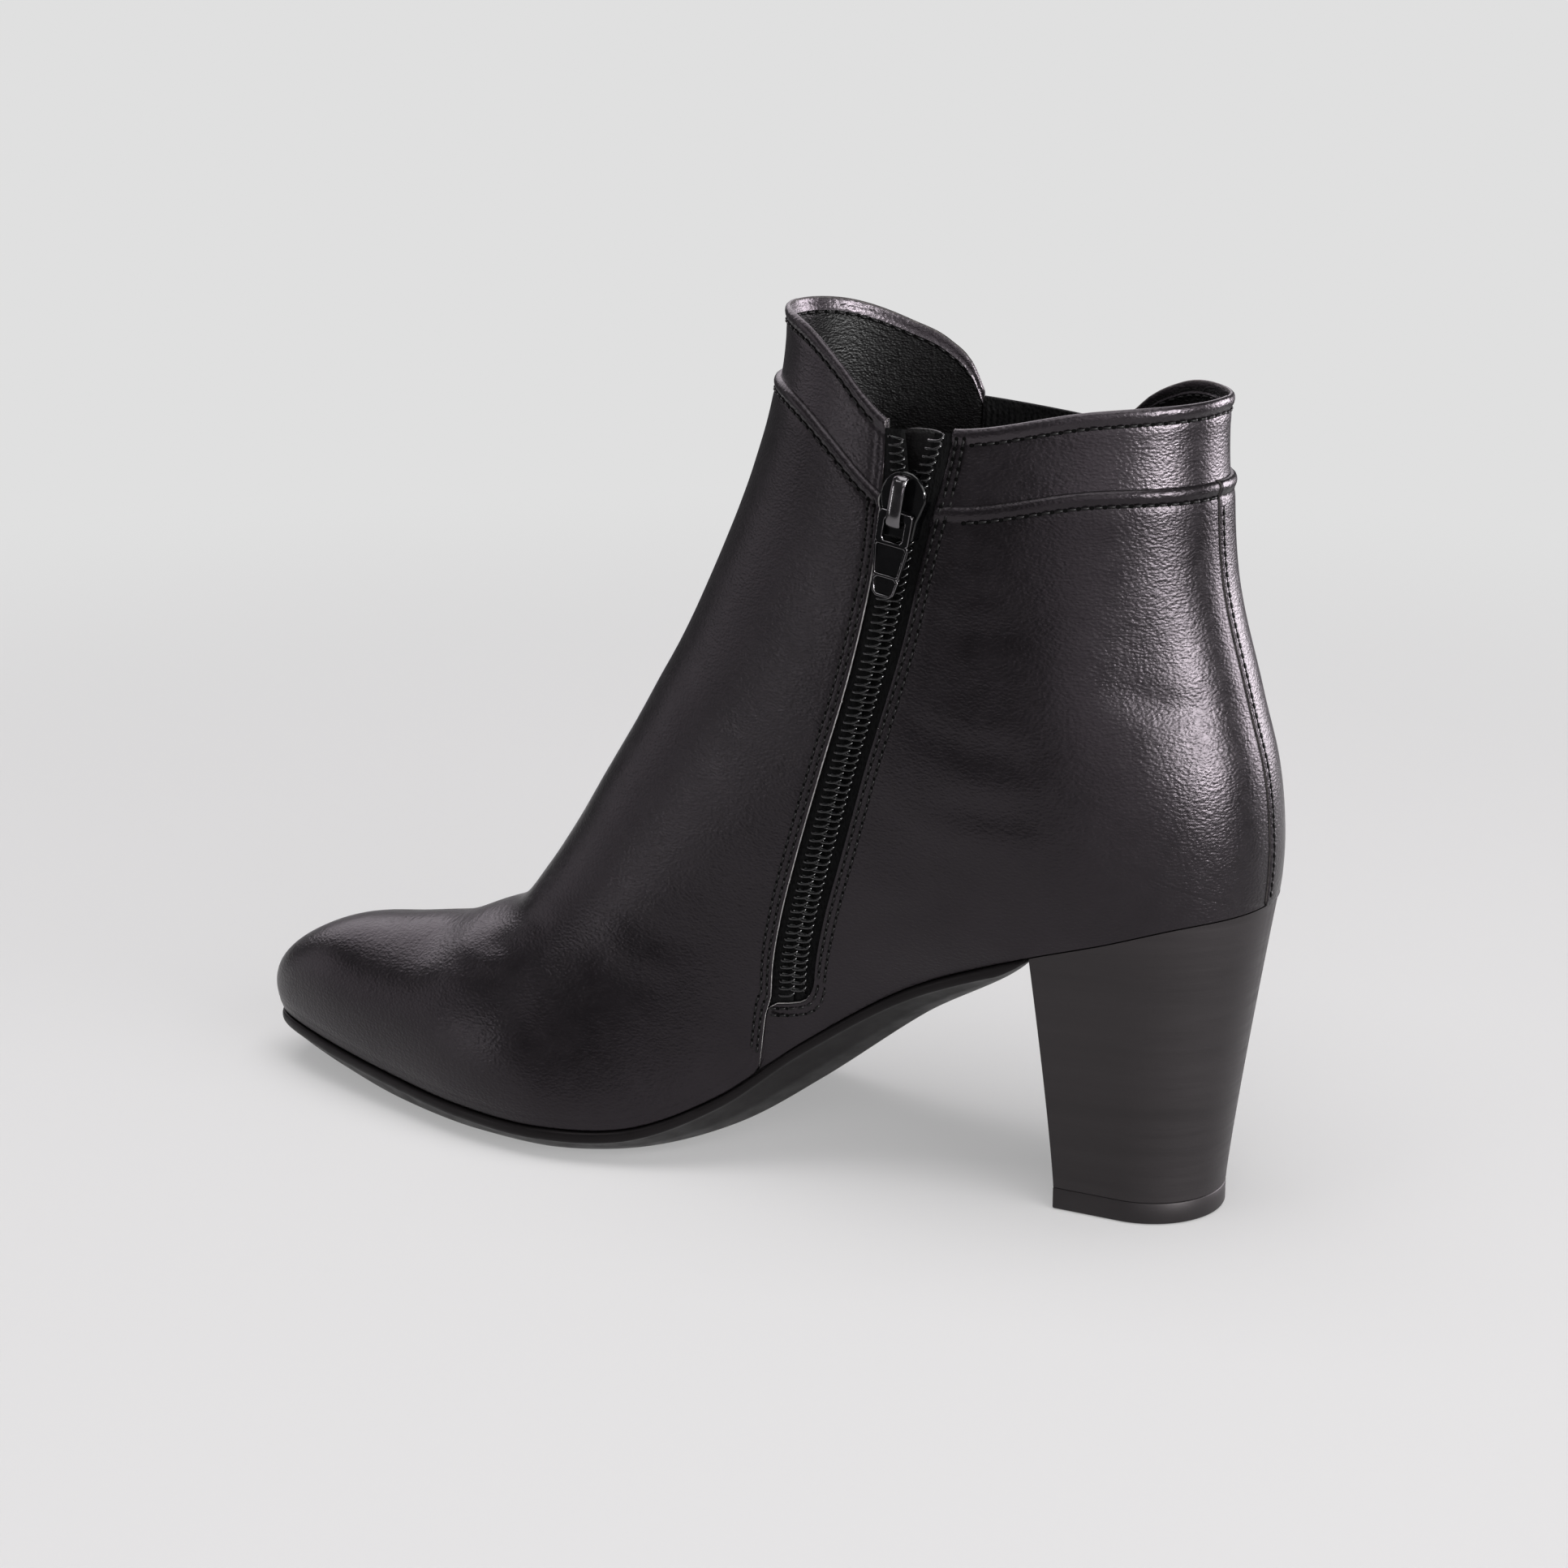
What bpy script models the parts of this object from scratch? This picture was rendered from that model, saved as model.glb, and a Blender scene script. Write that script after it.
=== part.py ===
"""A right ankle boot on a block heel: hollow lasted upper, zip on the inner side, elastic on the outer.

Sizes are in millimetres until a mesh is made. In the working frame x runs forward from the middle of the
heel's foot, y runs to the inner (zip) side and z is height over the floor. The last step moves the origin
to the middle of the boot's footprint.
"""

import functools
import math
from collections import namedtuple

import bmesh
import bpy
import numpy as np
from mathutils import Matrix, Vector

MM = 0.001
GAP = 0.3
WALL = 2.0
BAND_STEP = 0.9
INNER, OUTER = 1, -1

# The last's foot, from the toe tip to the waist. Each row is one slanted section: its foot on the feather
# line, its head on the front ridge, the y of its two edges, and the handles that swell its two sides.
Section = namedtuple(
    "Section",
    "name bottom_x bottom_z top_x top_z inner outer outer_drop ridge low lift crown_in crown_out",
)
FOOT = [
    Section("toe tip", 214.5, 12.8, 214.5, 12.8, 1.5, 1.5, 0.0, 1.5, 0.0, 0.4, 0.0, 0.0),
    Section("toe nose", 213.6, 12.7, 216.9, 18.0, 6.6, -4.2, 0.0, 1.7, 0.5, 0.4, 3.6, 4.2),
    Section("toe front", 210.6, 12.5, 214.6, 24.6, 10.6, -9.0, 0.0, 2.2, 1.0, 0.4, 7.0, 8.0),
    Section("toe", 203.0, 11.8, 206.8, 31.2, 15.2, -17.6, 0.0, 3.0, 2.0, 0.42, 11.0, 13.0),
    Section("toe box", 190.0, 10.5, 194.0, 37.3, 20.9, -25.8, 0.0, 3.8, 3.2, 0.44, 15.0, 18.5),
    Section("toe root", 172.0, 9.0, 176.0, 41.6, 27.6, -33.4, 0.0, 4.2, 4.2, 0.44, 18.5, 21.5),
    Section("ball front", 150.0, 7.8, 157.5, 46.2, 34.8, -39.4, 0.0, 4.2, 4.6, 0.44, 22.0, 25.0),
    Section("ball", 128.0, 7.5, 147.0, 50.6, 38.0, -42.0, 0.0, 4.0, 4.6, 0.42, 22.5, 26.0),
    Section("ball back", 107.0, 9.3, 140.5, 58.2, 34.4, -41.2, 1.0, 3.6, 5.2, 0.4, 21.5, 25.5),
    Section("waist front", 88.0, 18.0, 133.5, 69.0, 28.6, -37.8, 3.0, 3.0, 6.8, 0.37, 22.0, 25.0),
    Section("waist", 70.0, 32.0, 126.5, 81.0, 24.6, -33.6, 4.0, 2.4, 8.6, 0.355, 24.0, 26.0),
    Section("waist back", 46.0, 47.7, 119.5, 93.0, 23.8, -29.4, 2.6, 1.8, 10.6, 0.355, 25.5, 26.5),
]

# The last's heel and shaft: closed slanted ovals from the back seam to the front ridge. The first ones run
# down behind the heel seat, where the seat line cuts them off.
Oval = namedtuple("Oval", "name back_x back_z front_x front_z ridge back_swell front_swell")
SHAFT = [
    Oval("heel breast", -18.6, 40.4, 112.9, 105.0, 1.2, 36.6, 41.6),
    Oval("heel seat", -22.5, 52.5, 108.6, 112.6, 0.8, 41.8, 39.6),
    Oval("heel turn", -24.4, 62.0, 104.6, 120.4, 0.6, 45.4, 38.6),
    Oval("heel back", -25.3, 70.0, 100.8, 128.8, 0.4, 46.4, 38.0),
    Oval("counter", -25.8, 82.0, 97.4, 136.8, 0.2, 46.0, 37.8),
    Oval("counter top", -24.2, 97.0, 94.2, 144.6, 0.1, 45.0, 37.2),
    Oval("ankle", -20.3, 112.5, 91.4, 152.4, 0.0, 43.6, 36.6),
    Oval("shaft", -13.9, 137.0, 88.2, 163.8, 0.0, 41.2, 36.2),
    Oval("band", -12.2, 158.0, 85.7, 177.0, 0.0, 40.2, 36.0),
    Oval("above collar", -13.2, 178.0, 84.2, 194.0, 0.0, 40.0, 36.0),
]
ROW = {row.name: index for index, row in enumerate(FOOT + SHAFT)}
BREAST = ROW["heel breast"]

# The line along which the heel seat cuts the ovals.
SEAT_X = [-25.3, -12.0, 4.0, 19.6, 34.0]
SEAT_Z = [70.0, 68.0, 63.4, 58.8, 53.4]

# Height of the collar edge and of the band's lower line over the floor, along x, on each side of the boot.
CollarPoint = namedtuple("CollarPoint", "x collar band")
COLLAR = {
    INNER: [
        CollarPoint(-14, 173.2, 157.0),
        CollarPoint(8, 172.0, 156.6),
        CollarPoint(36, 167.4, 152.2),
        CollarPoint(51, 167.8, 152.8),
        CollarPoint(57, 172.2, 157.0),
        CollarPoint(64, 178.6, 162.8),
        CollarPoint(72, 184.0, 168.4),
        CollarPoint(80, 186.6, 171.8),
        CollarPoint(87, 187.6, 173.0),
    ],
    OUTER: [
        CollarPoint(-14, 173.0, 157.0),
        CollarPoint(4, 171.8, 156.6),
        CollarPoint(12, 168.0, 154.4),
        CollarPoint(18, 163.0, 153.0),
        CollarPoint(34, 160.0, 152.2),
        CollarPoint(49, 163.0, 152.8),
        CollarPoint(53, 172.0, 154.6),
        CollarPoint(58, 177.0, 157.8),
        CollarPoint(66, 181.2, 164.4),
        CollarPoint(78, 186.0, 171.2),
        CollarPoint(87, 187.6, 173.0),
    ],
}

# The outsole under the same sections: height of its lowest line, inset of the tread from the edge, and
# hollow of the top.
SolePoint = namedtuple("SolePoint", "name keel tuck cup")
SOLE = [
    SolePoint("toe tip", 9.6, 0.0, 0.0),
    SolePoint("toe nose", 9.0, 1.6, 0.2),
    SolePoint("toe front", 8.0, 2.8, 0.4),
    SolePoint("toe", 6.4, 3.6, 0.6),
    SolePoint("toe box", 3.8, 4.6, 0.9),
    SolePoint("toe root", 1.2, 5.4, 1.2),
    SolePoint("ball front", 0.0, 7.0, 1.5),
    SolePoint("ball", 0.0, 8.0, 1.6),
    SolePoint("ball back", 1.8, 9.4, 2.0),
    SolePoint("waist front", 8.0, 11.0, 3.6),
    SolePoint("waist", 19.8, 12.0, 4.2),
    SolePoint("waist back", 38.6, 10.5, 3.0),
    SolePoint("heel breast", 57.4, 5.0, 0.0),
]
SOLE_MARGIN = 0.7
SOLE_LIP = 2.4
INSOLE_THICK = 2.0
INSOLE_INSET = 3.1
INSOLE_LIFT = 0.2

# The heel: D-shaped foot, flat breast, sides that sweep out to the seat.
HEEL_FOOT_RADIUS = 16.8
HEEL_FOOT_FRONT = 15.6
HEEL_FOOT_CORNER = 16.2
HEEL_BREAST_GAP = 0.5
HEEL_SWEEP = 1.15
TOP_PIECE = 4.8

# The zip slot on the inner side, along its height: front and rear edge.
SlotPoint = namedtuple("SlotPoint", "z front rear")
SLOT = [
    SlotPoint(41.0, 76.5, 67.0),
    SlotPoint(50.0, 75.7, 66.1),
    SlotPoint(60.0, 73.7, 63.9),
    SlotPoint(76.0, 69.4, 59.2),
    SlotPoint(92.0, 64.7, 54.6),
    SlotPoint(108.0, 59.8, 49.8),
    SlotPoint(124.0, 55.8, 45.4),
    SlotPoint(140.0, 52.9, 42.0),
    SlotPoint(154.0, 51.9, 38.8),
    SlotPoint(182.0, 51.6, 33.6),
]
SLOT_FOOT = 41.0
TAPE_DEPTH, TAPE_THICK = 1.2, 0.7
TAPE_TOP = 166.4
COIL_WIDTH, COIL_FOOT, COIL_CROWN = 2.7, 0.9, -0.9
COIL_TOP = 165.6
GUARD_HALF, GUARD_DEPTH, GUARD_THICK = 8.5, 3.4, 0.8
GUARD_FOOT, GUARD_TOP = 50.0, 166.0
SLIDER_Z = 151.5
COIL_PARTING = 2.6

# The elastic on the outer side, along its height.
GORE = [
    SlotPoint(96.0, 59.0, 45.0),
    SlotPoint(104.0, 58.6, 39.5),
    SlotPoint(124.0, 55.0, 29.5),
    SlotPoint(144.0, 52.0, 21.5),
    SlotPoint(164.0, 50.6, 16.0),
    SlotPoint(184.0, 50.0, 11.0),
]
GORE_DEPTH, GORE_THICK = 0.5, 1.1
GORE_TOP_FRONT, GORE_TOP_REAR = 165.0, 161.0


def column(table, name):
    return np.array([getattr(row, name) for row in table], float)


def smooth(x, xs, ys):
    """A soft curve through a short table: cubic Hermite with slopes from the neighbouring points."""
    xs, ys = np.asarray(xs, float), np.asarray(ys, float)
    slopes = np.gradient(ys, xs)
    i = np.clip(np.searchsorted(xs, x) - 1, 0, len(xs) - 2)
    width = xs[i + 1] - xs[i]
    u = np.clip((x - xs[i]) / width, 0, 1)
    a, b = (2 * u**3 - 3 * u**2 + 1), (u**3 - 2 * u**2 + u)
    c, d = (-2 * u**3 + 3 * u**2), (u**3 - u**2)
    return a * ys[i] + b * width * slopes[i] + c * ys[i + 1] + d * width * slopes[i + 1]


def foot_controls(row, side):
    """Four Bezier points of one side of a foot section, from the feather edge to the front ridge."""
    edge, crown = (row.inner, row.crown_in) if side == INNER else (row.outer, row.crown_out)
    drop = 0.0 if side == INNER else row.outer_drop
    start = np.array([row.bottom_x, edge, row.bottom_z - drop])
    reach = np.array([row.top_x - row.bottom_x, 0.0, row.top_z - row.bottom_z])
    head = np.array([row.top_x, row.ridge, row.top_z])
    sideways = np.array([0.0, float(side), 0.0])
    return np.array([start, start + sideways * row.low + row.lift * reach, head + sideways * crown, head])


def before_tip(side):
    """A section past the toe tip, so that the two sides run round the tip without a kink."""
    tip, nose = FOOT[0], FOOT[1]
    turned = nose._replace(
        inner=nose.outer,
        outer=nose.inner,
        low=-nose.low,
        crown_in=-nose.crown_out,
        crown_out=-nose.crown_in,
        top_x=nose.bottom_x - (nose.top_x - tip.top_x),
        top_z=2 * tip.top_z - nose.top_z,
    )
    return foot_controls(turned, side)


def oval_controls(s, side):
    """Four Bezier points of one side of a closed oval, by a Catmull-Rom spline through the table."""
    rows = np.array([row[1:] for row in SHAFT], float)
    rows = np.vstack([2 * rows[0] - rows[1], rows, 2 * rows[-1] - rows[-2]])
    i = int(np.clip(math.floor(s - BREAST), 0, len(SHAFT) - 2))
    u = s - BREAST - i
    p0, p1, p2, p3 = rows[i : i + 4]
    bend = p0 * (-u + 2 * u**2 - u**3) + p3 * (u**3 - u**2)
    bend = bend + p1 * (2 - 5 * u**2 + 3 * u**3) + p2 * (u + 4 * u**2 - 3 * u**3)
    row = Oval("", *(bend / 2))
    back = np.array([row.back_x, 0.0, row.back_z])
    front = np.array([row.front_x, row.ridge, row.front_z])
    sideways = np.array([0.0, float(side), 0.0])
    return np.array([back, back + sideways * row.back_swell, front + sideways * row.front_swell, front])


def bezier(points, t):
    return (
        (1 - t) ** 3 * points[0]
        + 3 * t * (1 - t) ** 2 * points[1]
        + 3 * t**2 * (1 - t) * points[2]
        + t**3 * points[3]
    )


def cut_at_seat(points):
    """The part of an oval's side that lies over the heel seat."""
    over = bezier(points, 0.0)
    if over[2] >= smooth(over[0], SEAT_X, SEAT_Z):
        return points
    low, high = 0.0, 0.6
    for _ in range(40):
        middle = (low + high) / 2
        here = bezier(points, middle)
        if here[2] < smooth(here[0], SEAT_X, SEAT_Z):
            low = middle
        else:
            high = middle
    a, b, c, d = points
    ab, bc, cd = a + (b - a) * low, b + (c - b) * low, c + (d - c) * low
    abc, bcd = ab + (bc - ab) * low, bc + (cd - bc) * low
    return np.array([abc + (bcd - abc) * low, bcd, cd, d])


@functools.lru_cache(maxsize=None)
def controls(s, side):
    """Four Bezier points of one side of the boot at any place along it."""
    if s >= BREAST:
        return cut_at_seat(oval_controls(s, side))
    foot = [foot_controls(row, side) for row in FOOT]
    sections = [before_tip(side), *foot, controls(float(BREAST), side)]
    i = max(0, math.floor(s))
    u = s - i
    first, last = sections[i + 1], sections[i + 2]
    leave = (last - sections[i]) / 2
    if i + 1 < BREAST:
        arrive = (sections[i + 3] - first) / 2
    else:
        arrive = (controls(BREAST + 0.01, side) - last) / 0.01
    return (
        first * (2 * u**3 - 3 * u**2 + 1)
        + leave * (u**3 - 2 * u**2 + u)
        + last * (3 * u**2 - 2 * u**3)
        + arrive * (u**3 - u**2)
    )


def feather(s, side):
    """The edge where the upper meets the sole."""
    return controls(float(s), side)[0]


def skin(s, t, side):
    """A point of the upper's outside: t runs from the lower edge or back seam (0) to the front ridge (1)."""
    return bezier(controls(float(s), side), t)


def skin_normal(s, t, side):
    """Unit normal of the skin, pointing out of the boot."""
    e = 1e-3
    along = skin(s + e, t, side) - skin(s - e, t, side)
    across = skin(s, min(t + e, 1), side) - skin(s, max(t - e, 0), side)
    normal = np.cross(along, across) * side
    return normal / np.linalg.norm(normal)


def find(s, t, x, z, side):
    """The (s, t) whose skin point has that x and z, by Newton steps from a first guess."""
    e = 1e-4
    for _ in range(25):
        here = skin(s, t, side)
        miss = np.array([x - here[0], z - here[2]])
        if np.abs(miss).max() < 1e-4:
            break
        ds = (skin(s + e, t, side) - here)[[0, 2]] / e
        dt = (skin(s, t + e, side) - here)[[0, 2]] / e
        step = np.linalg.solve(np.column_stack([ds, dt]), miss)
        s = s + np.clip(step[0], -0.6, 0.6)
        t = float(np.clip(t + np.clip(step[1], -0.1, 0.1), 0.02, 0.98))
    return s, t


def on_side(x, z, side, depth=0.0):
    """A point of the boot's side at that x and height, sunk below the skin by depth."""
    guess = float(np.interp(z, [30, 60, 90, 125, 170], [10.0, 11.8, 14.5, 17.6, 19.9]))
    s, t = find(guess, 0.45, x, z, side)
    return skin(s, t, side) - depth * skin_normal(s, t, side)


def collar_row(t, side, line):
    """The s at which the skin's line t crosses the collar edge or the band's lower edge."""
    table = COLLAR[side]
    xs, zs = column(table, "x"), column(table, line)
    low, high = float(ROW["counter"]), float(ROW["above collar"])
    for _ in range(40):
        middle = (low + high) / 2
        point = skin(middle, t, side)
        if point[2] < smooth(point[0], xs, zs):
            low = middle
        else:
            high = middle
    return (low + high) / 2


def make_object(name, mesh, colour, roughness, metallic=0.0):
    obj = bpy.data.objects.new(name, mesh)
    BOOT.objects.link(obj)
    material = bpy.data.materials.new(name)
    material.use_nodes = True
    shader = material.node_tree.nodes["Principled BSDF"]
    shader.inputs["Base Color"].default_value = (*colour, 1)
    shader.inputs["Roughness"].default_value = roughness
    shader.inputs["Metallic"].default_value = metallic
    mesh.materials.append(material)
    mesh.shade_smooth()
    mesh.set_sharp_from_angle(angle=math.radians(35))
    return obj


def grid_mesh(name, rows, columns, place, weight=None, cap_end=False):
    """A grid whose points are set by place(row, column); points that coincide are welded."""
    bm = bmesh.new()
    bmesh.ops.create_grid(bm, x_segments=rows, y_segments=columns, size=1)
    layer = bm.verts.layers.deform.verify()
    for vert in bm.verts:
        i = round((vert.co.x + 1) / 2 * rows)
        j = round((vert.co.y + 1) / 2 * columns)
        vert.co = Vector(place(i, j)) * MM
        if weight:
            vert[layer][0] = weight(i)
    bmesh.ops.remove_doubles(bm, verts=bm.verts, dist=0.02 * MM)
    bmesh.ops.dissolve_degenerate(bm, dist=0.01 * MM, edges=bm.edges)
    if cap_end:
        bmesh.ops.holes_fill(bm, edges=[e for e in bm.edges if e.is_boundary])
    bmesh.ops.recalc_face_normals(bm, faces=bm.faces)
    mesh = bpy.data.meshes.new(name)
    bm.to_mesh(mesh)
    bm.free()
    return mesh


def thicken(obj, thickness, outward, group=None):
    """Solidify: the wall grows along the normals when outward is 1, and against them when it is -1."""
    modifier = obj.modifiers.new("wall", "SOLIDIFY")
    modifier.thickness = thickness * MM
    modifier.offset = outward
    modifier.use_even_offset = True
    if group:
        obj.vertex_groups.new(name=group)
        modifier.vertex_group = group


def facing(mesh, axis, way):
    """Turns the faces of an open sheet so that they look along one axis (0, 1, 2), forward or backward."""
    bm = bmesh.new()
    bm.from_mesh(mesh)
    bm.normal_update()
    if sum(face.normal[axis] * face.calc_area() for face in bm.faces) * way < 0:
        bmesh.ops.reverse_faces(bm, faces=bm.faces)
    bm.to_mesh(mesh)
    bm.free()


def boolean(obj, other, operation="DIFFERENCE"):
    modifier = obj.modifiers.new(other.name, "BOOLEAN")
    modifier.object = other
    modifier.operation = operation
    modifier.solver = "EXACT"


def hide_helper(obj):
    obj.hide_render = True
    obj.display_type = "WIRE"
    for collection in list(obj.users_collection):
        collection.objects.unlink(obj)
    CUTTERS.objects.link(obj)


def outline_solid(name, points, depth, matrix):
    """A flat outline made a plate of that thickness, centred on its plane, and turned into a mesh."""
    curve = bpy.data.curves.new(name, "CURVE")
    curve.dimensions = "2D"
    curve.fill_mode = "BOTH"
    curve.extrude = depth / 2 * MM
    spline = curve.splines.new("POLY")
    spline.points.add(len(points) - 1)
    for point, (x, y) in zip(spline.points, points):
        point.co = (x * MM, y * MM, 0, 1)
    spline.use_cyclic_u = True
    flat = bpy.data.objects.new(name, curve)
    BOOT.objects.link(flat)
    bpy.context.view_layer.update()
    evaluated = flat.evaluated_get(bpy.context.evaluated_depsgraph_get())
    mesh = bpy.data.meshes.new_from_object(evaluated)
    bpy.data.objects.remove(flat)
    bm = bmesh.new()
    bm.from_mesh(mesh)
    bmesh.ops.remove_doubles(bm, verts=bm.verts, dist=0.01 * MM)
    bmesh.ops.recalc_face_normals(bm, faces=bm.faces)
    bmesh.ops.transform(bm, matrix=matrix, verts=bm.verts)
    bm.to_mesh(mesh)
    bm.free()
    return mesh


SIDE_VIEW = Matrix(((1, 0, 0, 0), (0, 0, -1, 0), (0, 1, 0, 0), (0, 0, 0, 1)))


def side_cutter(name, table, foot_round, side):
    """A cutter with the outline of a slot seen from the side, reaching out through one wall of the upper."""
    zs = np.linspace(table[0].z, table[-1].z, 26)
    front = [(smooth(z, column(table, "z"), column(table, "front")), z) for z in zs]
    rear = [(smooth(z, column(table, "z"), column(table, "rear")), z) for z in zs[::-1]]
    foot = [(0.5 * (front[0][0] + rear[-1][0]), table[0].z - foot_round)]
    reach, start = 60.0, 6.0
    place = Matrix.Translation((0, side * (start + reach / 2) * MM, 0)) @ SIDE_VIEW
    obj = make_object(name, outline_solid(name, front + rear + foot, reach, place), (0.5, 0.5, 0.5), 0.5)
    hide_helper(obj)
    return obj


# Places of the upper's rows from the toe tip to the heel back, closer together at the two ends.
UPPER_STATIONS = [0.0, 0.35, 0.7, 1.0, 1.35, *np.arange(1.7, 13.8, 0.5), 14.0, 14.35, 14.7, 15.0]
UPPER_COLUMNS = 14
SHAFT_ROWS = 8
BAND_ROWS = 3


def column_place(k):
    """t of one column: the columns lie closer together at the front ridge and at the lower edge."""
    u = k / UPPER_COLUMNS
    return u - 0.08 * math.sin(2 * math.pi * u)


def upper():
    """The lasted wall: one grid over both sides from toe to collar, stepped in at the band, then cut open."""
    fixed = len(UPPER_STATIONS) - 1
    rows = fixed + SHAFT_ROWS + 1 + BAND_ROWS
    edge = {}
    for side in (INNER, OUTER):
        for j in range(UPPER_COLUMNS + 1):
            t = column_place(j)
            edge[side, j] = collar_row(t, side, "band"), collar_row(t, side, "collar")

    def place(i, j):
        side = INNER if j <= UPPER_COLUMNS else OUTER
        k = j if side == INNER else 2 * UPPER_COLUMNS - j
        t = column_place(k)
        if i <= fixed:
            return skin(UPPER_STATIONS[i], t, side)
        band, collar = edge[side, k]
        if i <= fixed + SHAFT_ROWS:
            start = UPPER_STATIONS[-1]
            return skin(start + (band - start) * (i - fixed) / SHAFT_ROWS, t, side)
        lift = 0.02 + (1 - 0.02) * (i - fixed - SHAFT_ROWS - 1) / BAND_ROWS
        s = band + (collar - band) * lift
        return skin(s, t, side) - BAND_STEP * skin_normal(s, t, side)

    thin = 1 - BAND_STEP / WALL

    def weight(i):
        return thin if i > fixed + SHAFT_ROWS else 1.0

    mesh = grid_mesh("upper", rows, 2 * UPPER_COLUMNS, place, weight)
    obj = make_object("upper", mesh, (0.02, 0.018, 0.02), 0.4)
    thicken(obj, WALL, -1, "wall")
    boolean(obj, side_cutter("zip_slot", SLOT, 0.8, INNER))
    boolean(obj, side_cutter("gore_notch", GORE, 0.4, OUTER))
    return obj


def bed(s, across):
    """The surface between the two feather edges, hollowed under the foot: across is 0 inside, 1 outside."""
    inner, outer = feather(s, INNER), feather(s, OUTER)
    names = [ROW[point.name] for point in SOLE] + [ROW["heel back"]]
    cups = [point.cup for point in SOLE] + [0.0]
    hollow = np.interp(s, names, cups) * (1 - abs(2 * across - 1) ** 2.4)
    point = inner + (outer - inner) * across
    return point - np.array([0.0, 0.0, hollow])


SOLE_ROWS = 36
SOLE_TOP = [0.0, 0.06, 0.16, 0.32, 0.5, 0.68, 0.84, 0.94, 1.0]


def outsole():
    """A ring of points round the sole at each section, lofted from the toe to the heel breast."""
    stations = [ROW[point.name] for point in SOLE]

    def ring(s):
        keel = max(0.0, smooth(s, stations, column(SOLE, "keel")))
        tuck = smooth(s, stations, column(SOLE, "tuck"))
        inner, outer = feather(s, INNER), feather(s, OUTER)
        spread = min(1.0, s / 1.0)
        wide = np.array([0.0, SOLE_MARGIN * spread, 0.0])
        under = np.array([0.0, 0.0, GAP])
        top = [bed(s, u) - under for u in SOLE_TOP]
        top[0], top[-1] = top[0] + wide, top[-1] - wide
        waist = np.interp(s, [0, 7, 10, 12], [0.16, 0.16, 0.5, 0.3])
        low_inner = np.array([inner[0], inner[1] + (SOLE_MARGIN - tuck) * spread, keel])
        low_outer = np.array([outer[0], outer[1] - (SOLE_MARGIN - tuck) * spread, keel])
        lip = min(SOLE_LIP, 0.5 * (top[0][2] - keel), 0.6 * (top[-1][2] - keel))
        lip_inner = top[0] - np.array([0, 0.2 * spread, lip])
        lip_outer = top[-1] - np.array([0, -0.2 * spread, lip])
        rise = np.array([0.0, 0.0, 1.0])
        turn_inner = 0.5 * (lip_inner + low_inner) - rise * waist * 0.25 * (lip_inner[2] - keel)
        turn_outer = 0.5 * (lip_outer + low_outer) - rise * waist * 0.25 * (lip_outer[2] - keel)
        foot = [low_outer, 0.5 * (low_outer + low_inner), low_inner]
        return top + [lip_outer, turn_outer] + foot + [turn_inner, lip_inner]

    rings = [ring(BREAST * i / SOLE_ROWS) for i in range(SOLE_ROWS + 1)]
    count = len(rings[0])
    mesh = grid_mesh("outsole", SOLE_ROWS, count, lambda i, j: rings[i][j % count], cap_end=True)
    return make_object("outsole", mesh, (0.022, 0.02, 0.02), 0.35)


INSOLE_ROWS, INSOLE_COLUMNS = 34, 8
INSOLE_FIRST, INSOLE_LAST = 1.8, ROW["heel turn"] + 0.5


def insole_inset(s, side):
    """How far the board's edge lies from the feather edge along y, larger where the outline turns."""
    step = feather(s + 0.05, side) - feather(s - 0.05, side)
    square = abs(step[0]) / math.hypot(step[0], step[1])
    return INSOLE_INSET / max(square, 0.3)


def insole():
    """The board inside the upper, on the sole and the heel seat."""

    def place(i, j):
        s = INSOLE_FIRST + (INSOLE_LAST - INSOLE_FIRST) * i / INSOLE_ROWS
        width = feather(s, INNER)[1] - feather(s, OUTER)[1]
        first, last = insole_inset(s, INNER) / width, 1 - insole_inset(s, OUTER) / width
        return bed(s, first + (last - first) * j / INSOLE_COLUMNS) + np.array([0.0, 0.0, INSOLE_LIFT])

    mesh = grid_mesh("insole", INSOLE_ROWS, INSOLE_COLUMNS, place)
    facing(mesh, 2, 1)
    obj = make_object("insole", mesh, (0.03, 0.028, 0.028), 0.7)
    thicken(obj, INSOLE_THICK, 1)
    return obj


def along(points, count):
    """Points at equal steps of length along a line."""
    points = np.array(points, float)
    length = np.concatenate([[0], np.cumsum(np.linalg.norm(np.diff(points, axis=0), axis=1))])
    steps = np.linspace(0, length[-1], count)
    return np.column_stack([np.interp(steps, length, points[:, k]) for k in range(points.shape[1])])


HEEL_POINTS, HEEL_LEVELS = 33, 8


def heel_foot_outline():
    """The D of the heel's foot: inner corner, straight side, round back, outer corner."""
    arc = [math.radians(90 + 180 * k / 40) for k in range(41)]
    back = [(HEEL_FOOT_RADIUS * math.cos(a), HEEL_FOOT_RADIUS * math.sin(a)) for a in arc]
    corners = [(HEEL_FOOT_FRONT, HEEL_FOOT_CORNER)], [(HEEL_FOOT_FRONT, -HEEL_FOOT_CORNER)]
    return along(corners[0] + back + corners[1], HEEL_POINTS)


def heel_seat_outline():
    """The feather edge from the breast round the back, a little below the upper."""
    steps = np.linspace(BREAST + 0.001, ROW["heel back"], 80)
    breast = feather(BREAST, INNER)[0] - HEEL_BREAST_GAP
    inner = [feather(s, INNER) for s in steps if feather(s, INNER)[0] < breast]
    outer = [feather(s, OUTER) for s in steps[::-1] if feather(s, OUTER)[0] < breast]
    return along(inner + outer, HEEL_POINTS) - np.array([0, 0, GAP])


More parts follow.
